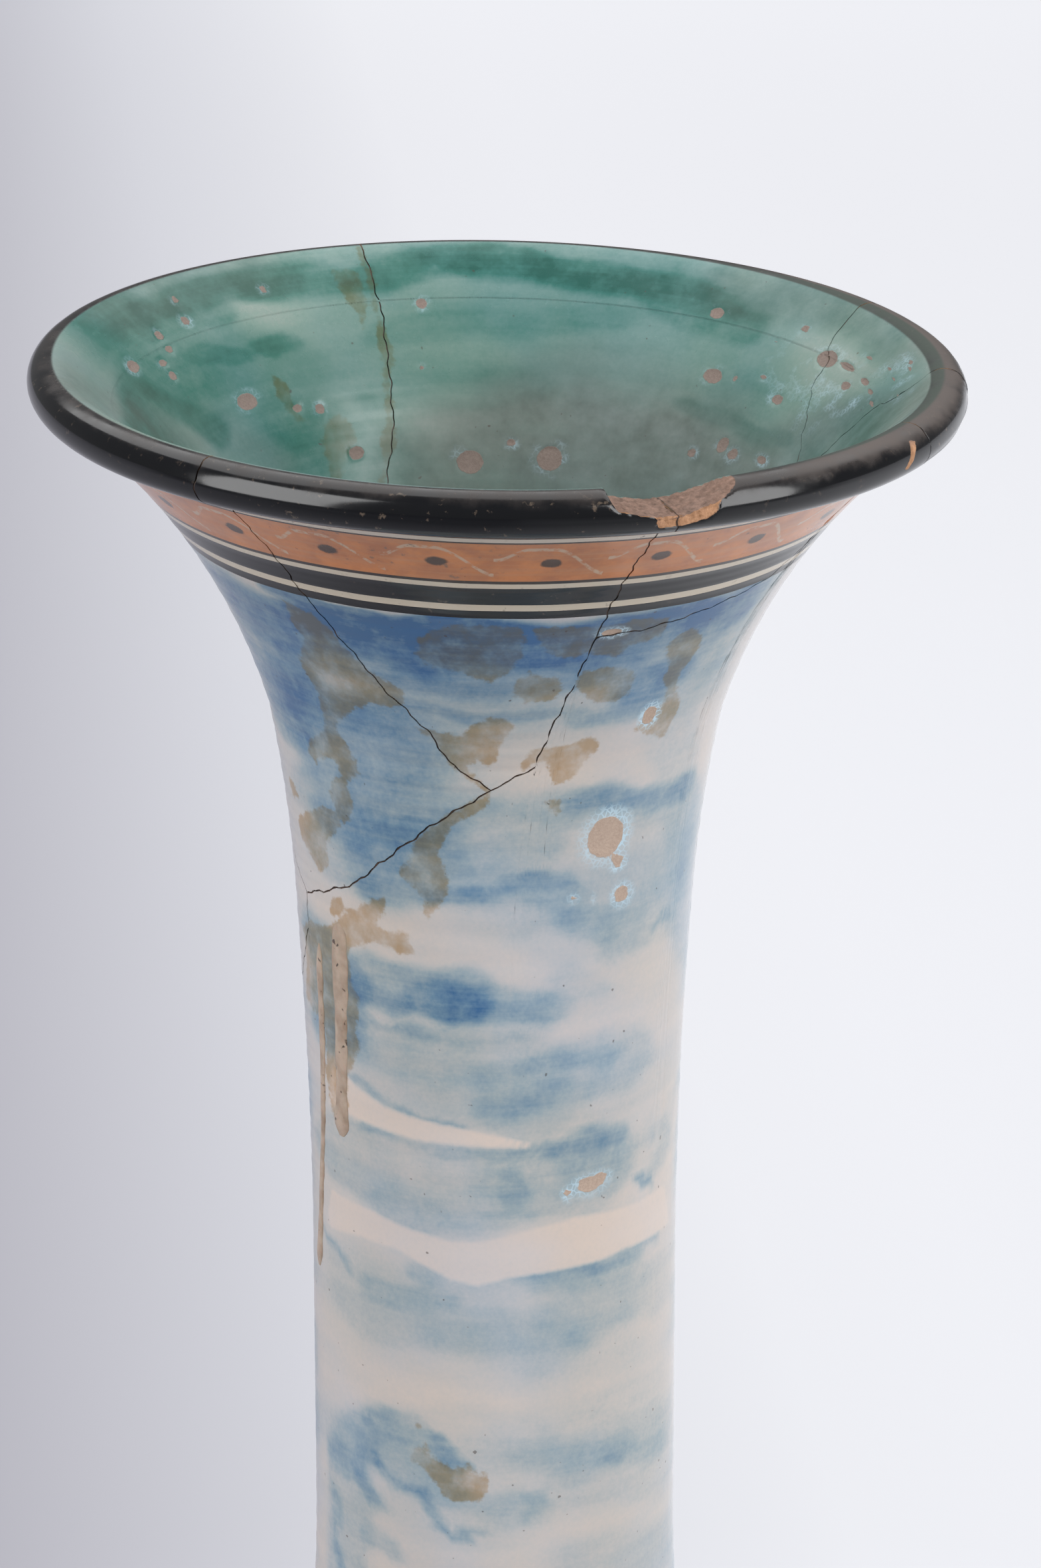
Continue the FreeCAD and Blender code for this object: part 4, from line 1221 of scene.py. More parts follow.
# %% Stains of glue sink into the glaze: they take blue light away and add a little tan
blotch = add(tree, MATH, mottle, 5.0, -2.7, **TIMES_PLUS)
blotched = add(tree, MATH, blotch, field["stain"], operation="ADD")
stain_edge = add(tree, MATH, frayed, 1.0, blotched, **TIMES_PLUS)
stain = add(tree, RANGE, stain_edge, -0.7, 0.5, **SOFT)
patchy = add(tree, RANGE, mottle, 0.36, 0.6, 0.35, 1.0)
stain = add(tree, MATH, stain, patchy, **TIMES)
soaked = add(tree, MIX, stain, glaze, "#DFC9AC", **TONES, blend_type="MULTIPLY")
skin = add(tree, MATH, stain, 0.16, **TIMES)
skin_tone = add(tree, MIX, inside, "#A08766", "#6A6C4A", **TONES)
glaze = add(tree, MIX, skin, soaked, skin_tone, **TONES)
print("stains go over the wash and under the border")

# %% [markdown]
# ## The painted border
# Under the lip the painter held a brush still while the jar turned, so each stripe is level
# and ends at a fixed distance from the crest. A ring of geometry for each stripe would
# stand proud of the glaze, and fired paint doesn't. One colour ramp over the distance
# gives them all. The dots and the vine come round again and again, so they are drawn in
# the fraction that is left when the angle is counted in dots.

# %% The border under the lip: stripes at fixed distances
BORDER = [
    # how far below the middle of the lip each stripe ends, and its colour
    (7.7, "#0E0F12"), (9.0, "#CCC0B1"), (9.6, "#403229"), (21.9, "#B07447"), (22.8, "#322925"),
    (24.3, "#C9BDAB"), (29.5, "#131416"), (31.4, "#C7BBA8"), (33.7, "#131416"),
]
BORDER_SPAN = 60.0
border_ends = [float(down_to(OUTSIDE, LIP_HEIGHT - drop)) for drop, _ in BORDER]
slip = add(tree, MATH, noise["slow"], 0.5, -0.25, **TIMES_PLUS)
wobble = add(tree, MATH, along, slip, operation="ADD")
scaled = add(tree, MATH, wobble, BORDER_SPAN, operation="DIVIDE")
starts = [end / BORDER_SPAN for end in (0.0, *border_ends)]
tones = [code for _, code in BORDER] + [(0.5, 0.5, 0.5, 0.0)]
stripes = add(tree, RAMP, scaled, stops=list(zip(starts, tones)), ramp="CONSTANT")
print("stripes end at", np.round(border_ends, 1).tolist(), "mm")

# %% In the ochre band a row of dots, and a cream vine that runs over one and under the next
DOTS = 22
DOT_PHASE = 0.483
DOT_LEVEL = 0.54
DOT_SQUEEZE = (8.0, 6.6, 0.0)
DOT_PIXELS = [(356, 806), (503, 831), (677, 846), (834, 847), (1007, 834)]
VINE_RISE = (0.02, 0.30, 0.46, 0.16)
VINE_FALL = (0.5, 1.02, 0.0, 0.7)
band_top, band_end = border_ends[2:4]
around = add(tree, MATH, turn, DOTS / (2 * np.pi), 0.5 + DOT_PHASE, **TIMES_PLUS)
unit = add(tree, MATH, around, operation="FRACT")
level = add(tree, RANGE, along, band_top, band_end, clamp=False)
dot_across = add(tree, MATH, unit, 0.5, operation="SUBTRACT")
dot_down = add(tree, MATH, level, DOT_LEVEL, operation="SUBTRACT")
dot_place = add(tree, GATHER, dot_across, dot_down, 0.0)
dot_scaled = add(tree, VECTOR, dot_place, DOT_SQUEEZE, **TIMES)
dot_off = add(tree, VECTOR, dot_scaled, output="Value", operation="LENGTH")
dot_rough = add(tree, MATH, frayed, 0.15, dot_off, **TIMES_PLUS)
dot = add(tree, RANGE, dot_rough, 0.62, 0.9, 0.9, 0.0, **SOFT)
rise = add(tree, RANGE, unit, *VINE_RISE, **SOFT)
fall = add(tree, RANGE, unit, *VINE_FALL, **SOFT)
vine_level = add(tree, MATH, rise, fall, operation="ADD")
vine_off = add(tree, MATH, level, vine_level, operation="SUBTRACT")
vine_gap = add(tree, MATH, vine_off, operation="ABSOLUTE")
vine_line = add(tree, RANGE, vine_gap, 0.025, 0.06, 0.75, 0.0, **SOFT)
vine_worn = add(tree, RANGE, fray, 0.36, 0.55, **SOFT)
vine = add(tree, MATH, vine_line, vine_worn, **TIMES)
ochre_share = add(tree, RANGE, mottle, 0.3, 0.7, **SOFT)
ochre = add(tree, MIX, ochre_share, "#CB804A", "#AC6D47", **TONES)
brushed = add(tree, RANGE, noise["hairs"], 0.4, 0.7, 0.0, 0.45, **SOFT)
for share, tone in ((brushed, "#BA8661"), (vine, "#C2AD96"), (dot, "#2B2928")):
    ochre = add(tree, MIX, share, ochre, tone, **TONES)
band_from = add(tree, MATH, wobble, band_top, operation="GREATER_THAN")
band_to = add(tree, MATH, wobble, band_end, operation="LESS_THAN")
in_band = add(tree, MATH, band_from, band_to, **TIMES)
border = add(tree, MIX, in_band, stripes, ochre, **TONES)
print("painted dots are at", look_through(DOT_PIXELS, OUTSIDE)[0].round(1), "degrees")

# %% The border is worn, and its black goes over the crest, further on the right
BLACK_OVER = 0.4
BLACK_OVER_RIGHT = 3.2
worn_share = add(tree, RANGE, fray, 0.62, 0.72, 0.0, 0.7, **SOFT)
worn_where = add(tree, RANGE, noise["cloud"], 0.42, 0.6, 0.25, 1.0, **SOFT)
worn = add(tree, MATH, worn_share, worn_where, **TIMES)
worn_border = add(tree, MIX, worn, border, "#675A4E", **TONES)
right_share = add(tree, RANGE, east, 0.0, LIP_RADIUS * MM)
right_square = add(tree, MATH, right_share, right_share, **TIMES)
black_edge = add(tree, MATH, right_square, BLACK_OVER_RIGHT, BLACK_OVER, **TIMES_PLUS)
over_edge = add(tree, MATH, along, black_edge, operation="ADD")
black_from = add(tree, RANGE, over_edge, -0.4, 0.4, **SOFT)
painted = add(tree, MATH, stripes.node.outputs["Alpha"], black_from, **TIMES)
glaze = add(tree, MIX, painted, glaze, worn_border, **TONES)
print(f"the black goes {BLACK_OVER} to {BLACK_OVER + BLACK_OVER_RIGHT} mm over the crest")

# %% [markdown]
# ## Dust and painted shade, flakes and bare clay
# Years of standing show as dust where the jar faces up, and as flakes where the glaze has
# let go of the clay. Low in the mouth the same darkening is dust and painted shade.
# Neither can be one more layer of paint at a fixed place: dust follows the direction of the
# surface, and a flake has a crisp edge with a crazed, milky rim. So each is a share between
# nothing and all, and the colours are mixed by them in the order in which they came to lie:
# glaze, dust and painted shade, rim, flake, break.

# %% Dust lies on the lip where it faces up; inside the mouth it is dust with painted shade
DUST_AND_SHADE_MOST = 0.80
# From where to where: how far below the crest it ends, and how far right it is thickest
DUST_BELOW = (12.0, 7.0)
DUST_RIGHT = (58 * MM, 80 * MM)
upper = add(tree, MATH, facing, 0.8, -0.42, **TIMES_PLUS)
sided = add(tree, MATH, east, 1.4, upper, **TIMES_PLUS)
uneven = add(tree, MATH, mottle, 0.8, sided, **TIMES_PLUS)
lying = add(tree, RANGE, uneven, 0.36, 1.0, **SOFT)
lip_part = add(tree, RANGE, along, *DUST_BELOW, **SOFT)
lip_dust = add(tree, MATH, lying, lip_part, **TIMES)
lip_dust = add(tree, MATH, lip_dust, black_from, **TIMES)
right_dust = add(tree, RANGE, east, *DUST_RIGHT, 0.45, 1.0, **SOFT)
lip_dust = add(tree, MATH, lip_dust, right_dust, **TIMES)
# inside the mouth: dust, and painted shade low down in it
mouth_share = add(tree, MATH, mottle, 1.0, 0.45, **TIMES_PLUS)
mouth_dust_and_shade = add(tree, MATH, field["dust"], mouth_share, **TIMES)
dust = add(tree, MATH, lip_dust, mouth_dust_and_shade, operation="MAXIMUM")
dust_and_shade_share = add(tree, MATH, dust, DUST_AND_SHADE_MOST, **TIMES)
# the lip's dust, and inside the darker tone of dust with painted shade
dust_and_shade_tone = add(tree, MIX, inside, "#625A56", "#4C544E", **TONES)
glaze = add(tree, MIX, dust_and_shade_share, glaze, dust_and_shade_tone, **TONES)
print(f"dust takes up to {DUST_AND_SHADE_MOST:.0%} of the colour")

# %% A milky web round each flake, where the glaze has crazed
CRACK_SIZE = 1.25
cracks = add(tree, "ShaderNodeTexVoronoi", place, 1 / CRACK_SIZE / MM, feature="DISTANCE_TO_EDGE")
web = add(tree, RANGE, cracks, 0.04, 0.16, 1.0, 0.3, **SOFT)
ring = add(tree, RANGE, field["halo"], 0.2, 0.95, **SOFT)
ring_share = add(tree, MATH, mottle, 2.4, -0.45, **TIMES_PLUS)
ring_share = add(tree, MATH, inside, -0.72, ring_share, **TIMES_PLUS)
halo = add(tree, MATH, ring, web, **TIMES)
halo = add(tree, MATH, halo, ring_share, **TIMES, use_clamp=True)
surface = add(tree, MIX, halo, glaze, "#B4CDDB", **TONES)
print("the cracks lie", CRACK_SIZE, "mm apart")

# %% Clay in flakes and breaks: clean in the chip where it faces out, dusty where it faces up
EDGES = {
    # how far the edge frays in millimetres, and the signed distances where it starts and ends
    "flake": (0.35, -0.1, 0.15),
    "clay": (0.3, 0.02, 0.2),
}
edges = {}
for name, (fraying, *span) in EDGES.items():
    edges[name] = add(tree, RANGE, add(tree, MATH, frayed, fraying, field[name], **TIMES_PLUS), *span, **SOFT)
core = add(tree, RANGE, field["core"], 0.1, 0.35, **SOFT)
lumps = add(tree, RANGE, noise["lumps"], 0.3, 0.7)
lies_up = add(tree, RANGE, facing, 0.35, 0.8, **SOFT)
pale_clay = add(tree, MIX, sand, "#9C8678", "#BDA999", **TONES)
dark_clay = add(tree, MIX, sand, "#6E5F58", "#8D7F77", **TONES)
fresh = add(tree, MIX, lumps, "#76502F", "#C29472", **TONES)
dusty = add(tree, MIX, lumps, "#54433A", "#94786A", **TONES)
flake_tone = add(tree, MIX, inside, pale_clay, dark_clay, **TONES)
chip_tone = add(tree, MIX, lies_up, fresh, dusty, **TONES)
print("the clay shows in", ", ".join(edges), "and the breaks' core")

# %% The foot: a black line above it, and its bottom wiped clean of glaze
FOOT_BLACK_HEIGHT, FOOT_GLAZE_HEIGHT = 12.0, 0.6
black_from_foot, glaze_end = (float(down_to(OUTSIDE, height))
                              for height in (FOOT_BLACK_HEIGHT, FOOT_GLAZE_HEIGHT))
foot_line = add(tree, RANGE, along, black_from_foot, black_from_foot + 0.8, **SOFT)
unglazed = add(tree, RANGE, along, glaze_end + 0.4, glaze_end + 1.2, **SOFT)
foot_clay = add(tree, MIX, sand, "#937252", "#AB8D6C", **TONES)
pit = add(tree, RANGE, noise["pits"], 0.845, 0.885, 0.0, 0.6)
for share, tone in ((edges["flake"], flake_tone), (edges["clay"], chip_tone), (core, "#937455"),
                    (foot_line, "#0F1013"), (unglazed, foot_clay), (pit, "#433730")):
    surface = add(tree, MIX, share, surface, tone, **TONES)
print(f"the glaze ends {glaze_end:.0f} mm from the crest")

# %% One gloss for glaze and paint, and matt clay
ROUGHNESS = 0.07
matt = edges["flake"]
for other in (edges["clay"], core, unglazed):
    matt = add(tree, MATH, matt, other, operation="MAXIMUM")
roughness = add(tree, MATH, mottle, 0.12, ROUGHNESS, **TIMES_PLUS)
for share, more in ((inside, 0.14), (dust, 0.45), (matt, 0.62)):
    roughness = add(tree, MATH, share, more, roughness, **TIMES_PLUS)
sandy = add(tree, MATH, sand, matt, **TIMES)
dulled = add(tree, RANGE, lying, 0.0, 1.0, 0.5, 0.2)
relief = add(tree, MATH, mottle, 0.10, sandy, **TIMES_PLUS)
bump = add(tree, BUMP, named={"Height": relief, "Distance": 0.5 * MM, "Strength": 0.35})
shader = add(tree, GLOSS, named={"Base Color": surface, "Roughness": roughness, "IOR": 1.5,
                                 "Specular IOR Level": dulled, "Normal": bump})
add(tree, RESULT, named={"Surface": shader})
print(f"{glazed.name}: {len(tree.nodes)} nodes")

# %% [markdown]
# ## Old glue
# The glue was an animal or nitrate glue: clear once, now brown where it is thick and tan
# where it has run thin. It keeps a soft gloss, and light goes a little way into it.

# %% Aged glue
# Waves to the metre: clouds of 4 mm and specks of 2 mm
GLUE_CLOUDS, GLUE_SPECKS = 240.0, 520.0


def aged_glue(name, thin, thick, roughness):
    """Yellowed glue: brown in clouds a few millimetres wide, with dark specks of dirt."""
    material, tree = blank(name)
    place = add(tree, PLACES, output="Object")
    cloud = add(tree, NOISE, place, GLUE_CLOUDS, 4.0)
    body = add(tree, RAMP, cloud, stops=[(0.3, thick), (0.62, thin)])
    specks = add(tree, NOISE, place, GLUE_SPECKS, 1.0)
    speck = add(tree, RANGE, specks, 0.68, 0.74, 0.0, 0.9)
    tone = add(tree, MIX, speck, body, "#3A2C22", **TONES)
    bump = add(tree, BUMP, named={"Height": cloud, "Distance": 0.4 * MM, "Strength": 0.3})
    shader = add(tree, GLOSS, named={
        "Base Color": tone, "Roughness": roughness, "IOR": 1.5, "Subsurface Weight": 0.15,
        "Subsurface Scale": 2 * MM, "Normal": bump})
    add(tree, RESULT, named={"Surface": shader})
    return material


film_glue = aged_glue("glue_film_in_a_break", "#432D1E", "#22160F", 0.5)
run_glue = aged_glue("glue_run_dried_outside", "#AE9B8A", "#917D6B", 0.26)
print("two tones of one glue")

# %% [markdown]
# ## The sherds
# Seven pieces of wall make the jar. The sherds come first, each between the breaks that
# bound it, with a finer grid where the camera looks.

# %% Six sherds
SHERDS = {
    # the breaks down its left and down its right side, and the step of its grid in millimetres
    "front": (["front_left"], ["front_right", "front_low"], 0.85),
    "left": (["back_left", "-left_side"], ["front_left", "lower_left"], 1.05),
    "right": (["front_right"], ["right"], 0.85),
    "side": (["side"], ["back_right"], 0.9),
    "back": (["back_right", "-back_rise"], ["back_left", "back_low", "back"], 1.1),
    "neck_left": (["back_low", "-neck_back"], ["-left_side", "neck_left"], 1.0),
}
pieces = {f"sherd_{name}": sherd(name, *lines_and_step, glazed) for name, lines_and_step in SHERDS.items()}

# %% [markdown]
# ## The vessel
# The rest of the jar is one piece of wall. Its upper grid runs from the line of all the
# breaks down to a level ring on the neck, and below that ring half as many columns carry
# it to the axis. Between 63 and 89 degrees a tongue of it still reaches over the lip.

# %% The vessel's loop of breaks
COLUMNS = 400
TONGUE_COLUMNS = 36
RING_HEIGHT = 494.5
RING_BELOW = 2.0
TONGUE_LEANS = (-2.5, 3.0)
LEAN_LENGTH = 30.0
EVEN_SHARE = 0.15
LEAVING = 4
UPPER_ROWS, UPPER_ROWS_INSIDE = 76, 34
CROWDED_INSIDE = 1.5
# Below the ring: down to which height, and the step from row to row
LOWER_STEPS = ((354.0, 2.2), (50.0, 5.5), (0.0, 2.5))
BOTTOM_STEP = 4.0


def vessel_loop():
    """Angles, distances and ring angles of the edge, once round from the tongue's far corner."""
    line = beside(*joined("side", "-back_rise", "-back", "-neck_back", "-neck_left", "-lower_left",
                          "-front_low", "-right"), -HALF_GAP)
    total = length_along(*line)[-1]
    marks = np.linspace(0, total, COLUMNS - TONGUE_COLUMNS)
    angle, down = resampled(line, marks)
    down[0] = down[-1] = 0.0
    lean = (TONGUE_LEANS[0] * (1 - smooth(marks / LEAN_LENGTH))
            + TONGUE_LEANS[1] * (1 - smooth((total - marks) / LEAN_LENGTH)))
    top = np.linspace(angle[-1], angle[0] + 360, TONGUE_COLUMNS + 2)[1:-1]
    top_lean = np.linspace(TONGUE_LEANS[1], TONGUE_LEANS[0], TONGUE_COLUMNS + 2)[1:-1]
    ring = np.concatenate([angle + lean, top + top_lean])
    even = np.linspace(ring[0], ring[0] + 360, COLUMNS, endpoint=False)
    ring = np.maximum.accumulate(ring) * (1 - EVEN_SHARE) + even * EVEN_SHARE
    return np.concatenate([angle, top]), np.concatenate([down, np.zeros(TONGUE_COLUMNS)]), ring


loop_angle, loop_down, ring_angle = vessel_loop()
print(f"the vessel's edge has {len(loop_angle)} points; least turn {np.diff(ring_angle).min():.3f} degrees")

# %% The vessel's wall
def lower_levels(side, first):
    """Distances from the crest of the rows below the ring; inside they lie twice as far apart."""
    levels, end = [first], side["down"][-1]
    for bottom, step in LOWER_STEPS:
        stop = min(float(down_to(side, max(bottom, side["lowest"][-1] + 0.5))), end)
        if stop > levels[-1] + step:
            count = int((stop - levels[-1]) / (step if side is OUTSIDE else 2 * step)) + 1
            levels += np.linspace(levels[-1], stop, count)[1:].tolist()
    return levels + np.linspace(levels[-1], end, int((end - levels[-1]) / BOTTOM_STEP) + 1)[1:].tolist()


def vessel(material):
    """Upper grids lead from the edge to the ring, lower ones from the ring to the axis."""
    parts, faces, edges, start = [], [], [], 0
    for side, sign, share in ((OUTSIDE, 1, np.linspace(0, 1, UPPER_ROWS)),
                              (INSIDE, -1, np.linspace(0, 1, UPPER_ROWS_INSIDE) ** CROWDED_INSIDE)):
        edge = np.where(loop_down > 0, down_to(side, look_up(OUTSIDE, "height", loop_down)), 0)
        ring = float(down_to(side, RING_HEIGHT))
        share = share[:, None]
        angle = loop_angle + (ring_angle - loop_angle) * (1 - (1 - share) ** LEAVING)
        down = edge + (ring - edge) * share
        rows = len(share)
        parts.append(wall(angle.ravel(), sign * np.maximum(down.ravel(), OFF_CREST)))
        faces.append(grid_faces(start, rows, COLUMNS, closed=True))
        edges.append(start + np.arange(COLUMNS))
        upper_last = start + (rows - 1) * COLUMNS
        start += rows * COLUMNS
        levels = lower_levels(side, ring + RING_BELOW)
        half = COLUMNS // 2
        angle = np.tile(ring_angle[::2], len(levels))
        down = np.repeat(levels, half)
        parts.append(wall(angle, sign * down))
        faces.append(grid_faces(start, len(levels), half, closed=True))
        place = np.arange(half)
        left, middle, right = (upper_last + (2 * place + shift) % COLUMNS for shift in (0, 1, 2))
        below, below_right = start + place, start + (place + 1) % half
        faces.append(np.concatenate([np.stack(corners, axis=1) for corners in
                                     ((left, middle, below), (middle, below_right, below),
                                      (middle, right, below_right))]))
        start += len(levels) * half
    both_faces = stacked(parts)
    strip, strip_faces = core_strip(both_faces, *edges, start, closed=True)
    places, fields = stacked([both_faces, strip])
    return add_mesh("pot", places, [*faces, strip_faces], fields, material)


pieces["vessel"] = vessel(glazed)

# %% [markdown]
# ## Glue in the breaks
# A film of glue as thin as a visiting card fills each break. Seen from outside it is only a
# dark hairline, but it has the whole thickness of the wall. Each is a flat tube along its
# break, sunk a little below the glaze by an uneven amount.

# %% Films
FILMS = {
    "glue_front_left": ["front_left"],
    "glue_front_right": ["front_right", "front_low"],
    "glue_right": ["right"],
    "glue_side": ["side"],
    "glue_back_right": ["back_right"],
    "glue_back_left": ["back_left", "back_low"],
    "glue_lower_left": ["lower_left"],
    "glue_left_side": ["left_side"],
    "glue_back": ["back", "back_rise"],
    "glue_neck_left": ["neck_left", "neck_back"],
}
# In millimetres: how far the glue has sunk and in which waves, where a film starts on the
# crest, and its step; then the most of the wall and of its own depth that it gives way
FILM_SUNK = (0.10, 0.55)
FILM_WAVE, FILM_BEAT = 9.0, 5.1
FILM_START = 0.8
FILM_STEP = 1.0
FILM_MOST = 0.4
FILM_DIP = 0.3


def closed_tube(name, rings, material):
    """A closed tube over rings of points, given as an array of rings by points by three."""
    count, around = rings.shape[:2]
    places = rings.reshape(-1, 3)
    ends = np.stack([rings[0].mean(axis=0), rings[-1].mean(axis=0)])
    here = np.arange(around)
    after = (here + 1) % around
    last = (count - 1) * around
    caps = [np.stack([after, here, np.full(around, len(places))], axis=1),
            np.stack([last + here, last + after, np.full(around, len(places) + 1)], axis=1)]
    faces = [grid_faces(0, count, around, closed=True), *caps]
    return add_mesh(name, np.concatenate([places, ends]), faces, {}, material)


def film(name, parts, seed):
    """Four corners at each step: either side of the break, near the outer and the inner face."""
    line = joined(*parts)
    length = length_along(*line)
    first = FILM_START if line[1][0] < 1 else 0.0
    marks = np.linspace(first, length[-1], int(length[-1] / FILM_STEP))
    random = np.random.default_rng(seed)
    sunk = FILM_SUNK[0] + (FILM_SUNK[1] - FILM_SUNK[0]) * (
        0.5 + 0.5 * np.sin(2 * np.pi * (marks / FILM_WAVE + random.random())) * np.sin(marks / FILM_BEAT))
    corners = []
    for offset, outer in ((-1, True), (1, True), (1, False), (-1, False)):
        moved = beside(*line, offset * HALF_GAP)
        angle, down = np.interp(marks, length, moved[0]), np.interp(marks, length, moved[1])
        height = look_up(OUTSIDE, "height", down)
        out = look_up(OUTSIDE, "radius", down)
        within_wall = look_up(INSIDE, "radius", down_to(INSIDE, height))
        depth = np.minimum(sunk, (out - within_wall) * FILM_MOST)
        radius = out - depth if outer else within_wall + depth
        corners.append(round_axis(np.radians(angle), radius, height - sunk * FILM_DIP))
    rings = np.stack(corners, axis=1)
    flat = rings.reshape(-1, 3)
    chip(flat)
    return closed_tube(name, slump(flat).reshape(rings.shape), film_glue)


for seed, (node, parts) in enumerate(FILMS.items()):
    pieces[node] = film(node.replace("glue", "film"), parts, seed)

# %% [markdown]
# ## Glue that ran
# Two runs dried on the neck under the corner of the left sherd: a short wide one, and a
# long thin one that ends in a drop. A run is a low bead on the wall, so its section is an
# arch over a flat base, carried down a wandering line.

# %% Runs
RUNS = {
    # the width in millimetres; then angles, shares of the trumpet's height and of the width
    "glue_run_long": (3.2, [(-61.5, 0.630, 0.5), (-62.2, 0.660, 1.0), (-63.5, 0.760, 0.9),
                            (-66.0, 0.860, 0.8), (-70.0, 0.960, 0.9), (-72.6, 1.030, 1.2),
                            (-73.4, 1.052, 0.6)]),
    "glue_run_short": (6.5, [(-50.0, 0.590, 0.6), (-50.5, 0.620, 1.0), (-51.5, 0.700, 0.8),
                             (-53.0, 0.790, 0.7), (-53.9, 0.845, 0.9), (-54.1, 0.862, 0.4)]),
}
# In millimetres: how high the bead stands, how deep it goes into the wall, its step, how
# long its ends taper, and how far its edges sink in; and how many points its arch has
RUN_DEPTH = 0.5
RUN_ROOT = 0.5
RUN_STEP = 1.2
RUN_END = 2.5
RUN_SEAT = 0.05
RUN_ARCH = 13
# How much of its width the bead swells and ripples, and over how many millimetres
RUN_SWELL, RUN_SWELL_OVER = 0.06, 3.1
RUN_RIPPLE, RUN_RIPPLE_OVER = 0.03, 1.3


def run_bead(name, width, places, seed):
    """The arch is the depth times the square root of one less the share across squared."""
    places = np.array(places, float)
    down = down_to(OUTSIDE, LIP_HEIGHT - TRUMPET * places[:, 1])
    marks = np.arange(down[0], down[-1], RUN_STEP)
    angle = np.interp(marks, down, places[:, 0])
    share = np.interp(marks, down, places[:, 2])
    random = np.random.default_rng(seed)
    swell = RUN_SWELL * np.sin(marks / RUN_SWELL_OVER + random.random() * 6)
    share = share * (1 + swell + RUN_RIPPLE * np.sin(marks / RUN_RIPPLE_OVER))
    ends = np.minimum(marks - down[0] + 0.3, down[-1] - marks) / RUN_END
    share = share * np.sqrt(np.clip(ends, 0.02, 1))
    across = np.cos(np.linspace(0, np.pi, RUN_ARCH))
    lift = np.sqrt(np.maximum(1 - across**2, 0)) * RUN_DEPTH
    outer = look_up(OUTSIDE, "radius", marks)
    radius = outer[:, None] - RUN_SEAT + lift[None, :] * share[:, None]
    turn = np.radians(angle[:, None]) + across[None, :] * (width / 2 * share / outer)[:, None]
    back = np.repeat(outer[:, None] - RUN_ROOT, 2, axis=1)
    radius = np.concatenate([radius, back], axis=1)
    turn = np.concatenate([turn, turn[:, -1:], turn[:, :1]], axis=1)
    height = np.repeat(look_up(OUTSIDE, "height", marks)[:, None], radius.shape[1], axis=1)
    return closed_tube(name, slump(round_axis(turn, radius, height)), run_glue)


for seed, (node, (width, places)) in enumerate(RUNS.items()):
    pieces[node] = run_bead(node.replace("glue_", ""), width, places, seed)

# %% Each piece rides on the jar's one body and stands for its CAD node
for node, piece in pieces.items():
    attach(piece, "root")
    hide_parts(node)
print(len(pieces), "pieces in place")

# %% [markdown]
# ## The studio
# The jar stood on pale paper between two large soft boxes, with a third above it. The
# floor alone fills the picture behind it, because the camera looks down, and so the
# floor's colour gives the background, with painted shade that makes it cooler and darker
# to the left. In front of the jar the room was dark. A darker floor there, painted shade
# too, keeps the black lip black, because the lip mirrors it.

# %% The floor
FLOOR_SIZE = 9.0
FLOOR_LINES = 9
FLOOR_DROP = 0.0002
# How bright the paper is behind the jar, and in front of it to the camera and to other rays
PAPER_LEVEL = 0.73
PAPER_LEVEL_SEEN, PAPER_LEVEL_FRONT = 0.56, 0.24
PAPER_FRONT_SPAN = (-1.0, 0.2)
# Where across the room the painted shade to the left starts and ends, and how much it leans with the depth
PAPER_SHADE_SPAN = (-0.14, 0.30)
PAPER_SHADE_LEAN = 0.10
PAPER_GLOW = (0.16, 0.95)
PAPER_NEAR, PAPER_FAR = 0.8, 3.4


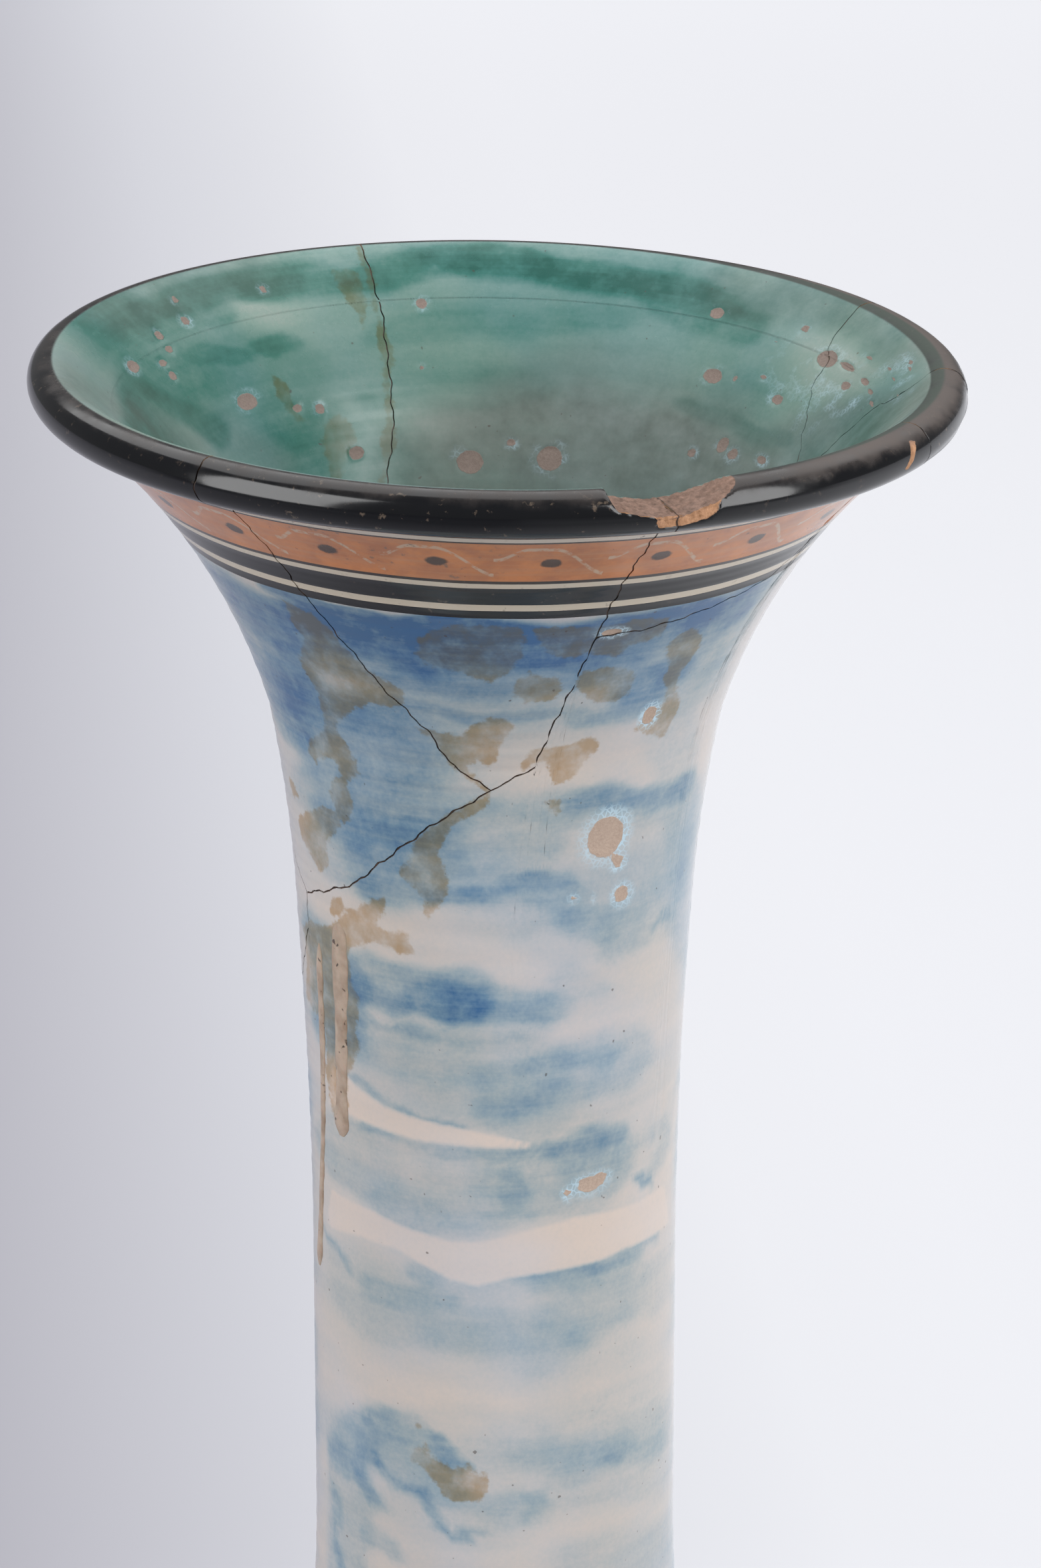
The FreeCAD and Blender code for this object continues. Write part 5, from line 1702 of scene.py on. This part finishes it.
def paper():
    """Matt paper with painted shade, darker to the left and in front, and brighter to the camera than it is
    lit.
    """
    material, tree = blank("studio_paper")
    place = add(tree, PLACES, output="Object")
    east = add(tree, SPLIT, place, output="X")
    north = east.node.outputs["Y"]
    sloped = add(tree, MATH, north, PAPER_SHADE_LEAN, east, **TIMES_PLUS)
    across = add(tree, RANGE, sloped, *PAPER_SHADE_SPAN)
    # painted shade: the paper's tone is darker and cooler to the left
    tone = add(tree, RAMP, across, stops=[(0.0, "#B4B3BC"), (0.4, "#D8D9E0"), (0.8, "#EDEEF3"),
                                          (1.0, "#EFF0F5")])
    # painted shade in front, where the room was dark
    front, seen_front = (add(tree, RANGE, north, *PAPER_FRONT_SPAN, level, PAPER_LEVEL)
                         for level in (PAPER_LEVEL_FRONT, PAPER_LEVEL_SEEN))
    camera_ray = add(tree, RAYS, output="Is Camera Ray")
    level = add(tree, MIX, camera_ray, front, seen_front)
    tone = add(tree, VECTOR, tone, named={"Scale": level}, operation="SCALE")
    away = add(tree, VECTOR, place, output="Value", operation="LENGTH")
    thinning = add(tree, RANGE, away, PAPER_NEAR, PAPER_FAR, *PAPER_GLOW)
    kinds = camera_ray.node.outputs
    mirrored = add(tree, MATH, kinds["Is Glossy Ray"], kinds["Is Transmission Ray"], operation="MAXIMUM")
    seen = add(tree, MATH, camera_ray, mirrored, operation="MAXIMUM")
    glow = add(tree, MATH, seen, thinning, **TIMES)
    matt = add(tree, GLOSS, named={"Base Color": tone, "Roughness": 0.9, "Specular IOR Level": 0.1,
                                   "Emission Color": tone, "Emission Strength": glow})
    add(tree, RESULT, named={"Surface": matt})
    return material


floor_mesh = bpy.data.meshes.new("floor")
reach = np.linspace(-FLOOR_SIZE, FLOOR_SIZE, FLOOR_LINES)
floor_x, floor_y = np.meshgrid(reach, reach)
floor_z = np.full_like(floor_x, -FLOOR_DROP)
floor_mesh.from_pydata(np.stack([floor_x, floor_y, floor_z], axis=-1).reshape(-1, 3).tolist(), [],
                       grid_faces(0, FLOOR_LINES, FLOOR_LINES).tolist())
floor_mesh.materials.append(paper())
floor = in_scene("floor", floor_mesh)
print("the floor is", 2 * FLOOR_SIZE, "m wide")

# %% Lights
LAMPS = {
    # place, what it looks at, width and height in metres, watts
    "left_box": ((-1.8, -1.25, 1.5), (0.0, 0.0, 0.5), (1.5, 2.4), 58.0),
    "right_box": ((1.8, -1.2, 1.5), (0.0, 0.0, 0.5), (1.5, 2.4), 61.0),
    "top_box": ((0.0, 1.1, 2.6), (0.0, 0.0, 0.5), (3.6, 2.6), 54.0),
}
ROOM_LIGHT, ROOM_SEEN = 0.2, 0.62
for name, (place, target, extent, watts) in LAMPS.items():
    lamp_data = bpy.data.lights.new(name, "AREA")
    lamp_data.shape = "RECTANGLE"
    lamp_data.size, lamp_data.size_y = extent
    lamp_data.energy = watts
    lamp = in_scene(name, lamp_data)
    lamp.location = place
    way = np.array(target) - np.array(place)
    lamp.rotation_euler = (np.arctan2(np.hypot(way[0], way[1]), -way[2]), 0, np.arctan2(-way[0], way[1]))

world = bpy.data.worlds.new("soft_room")
bpy.context.scene.world = world
world.use_nodes = True
sky = world.node_tree.nodes["Background"]
sky.inputs["Color"].default_value = colour("#F4F4F6")
seen = add(world.node_tree, RAYS, output="Is Camera Ray")
strength = add(world.node_tree, RANGE, seen, 0.0, 1.0, ROOM_LIGHT, ROOM_SEEN)
world.node_tree.links.new(strength, sky.inputs["Strength"])
bpy.context.scene.view_settings.view_transform = "Standard"
print(len(LAMPS), "soft boxes")
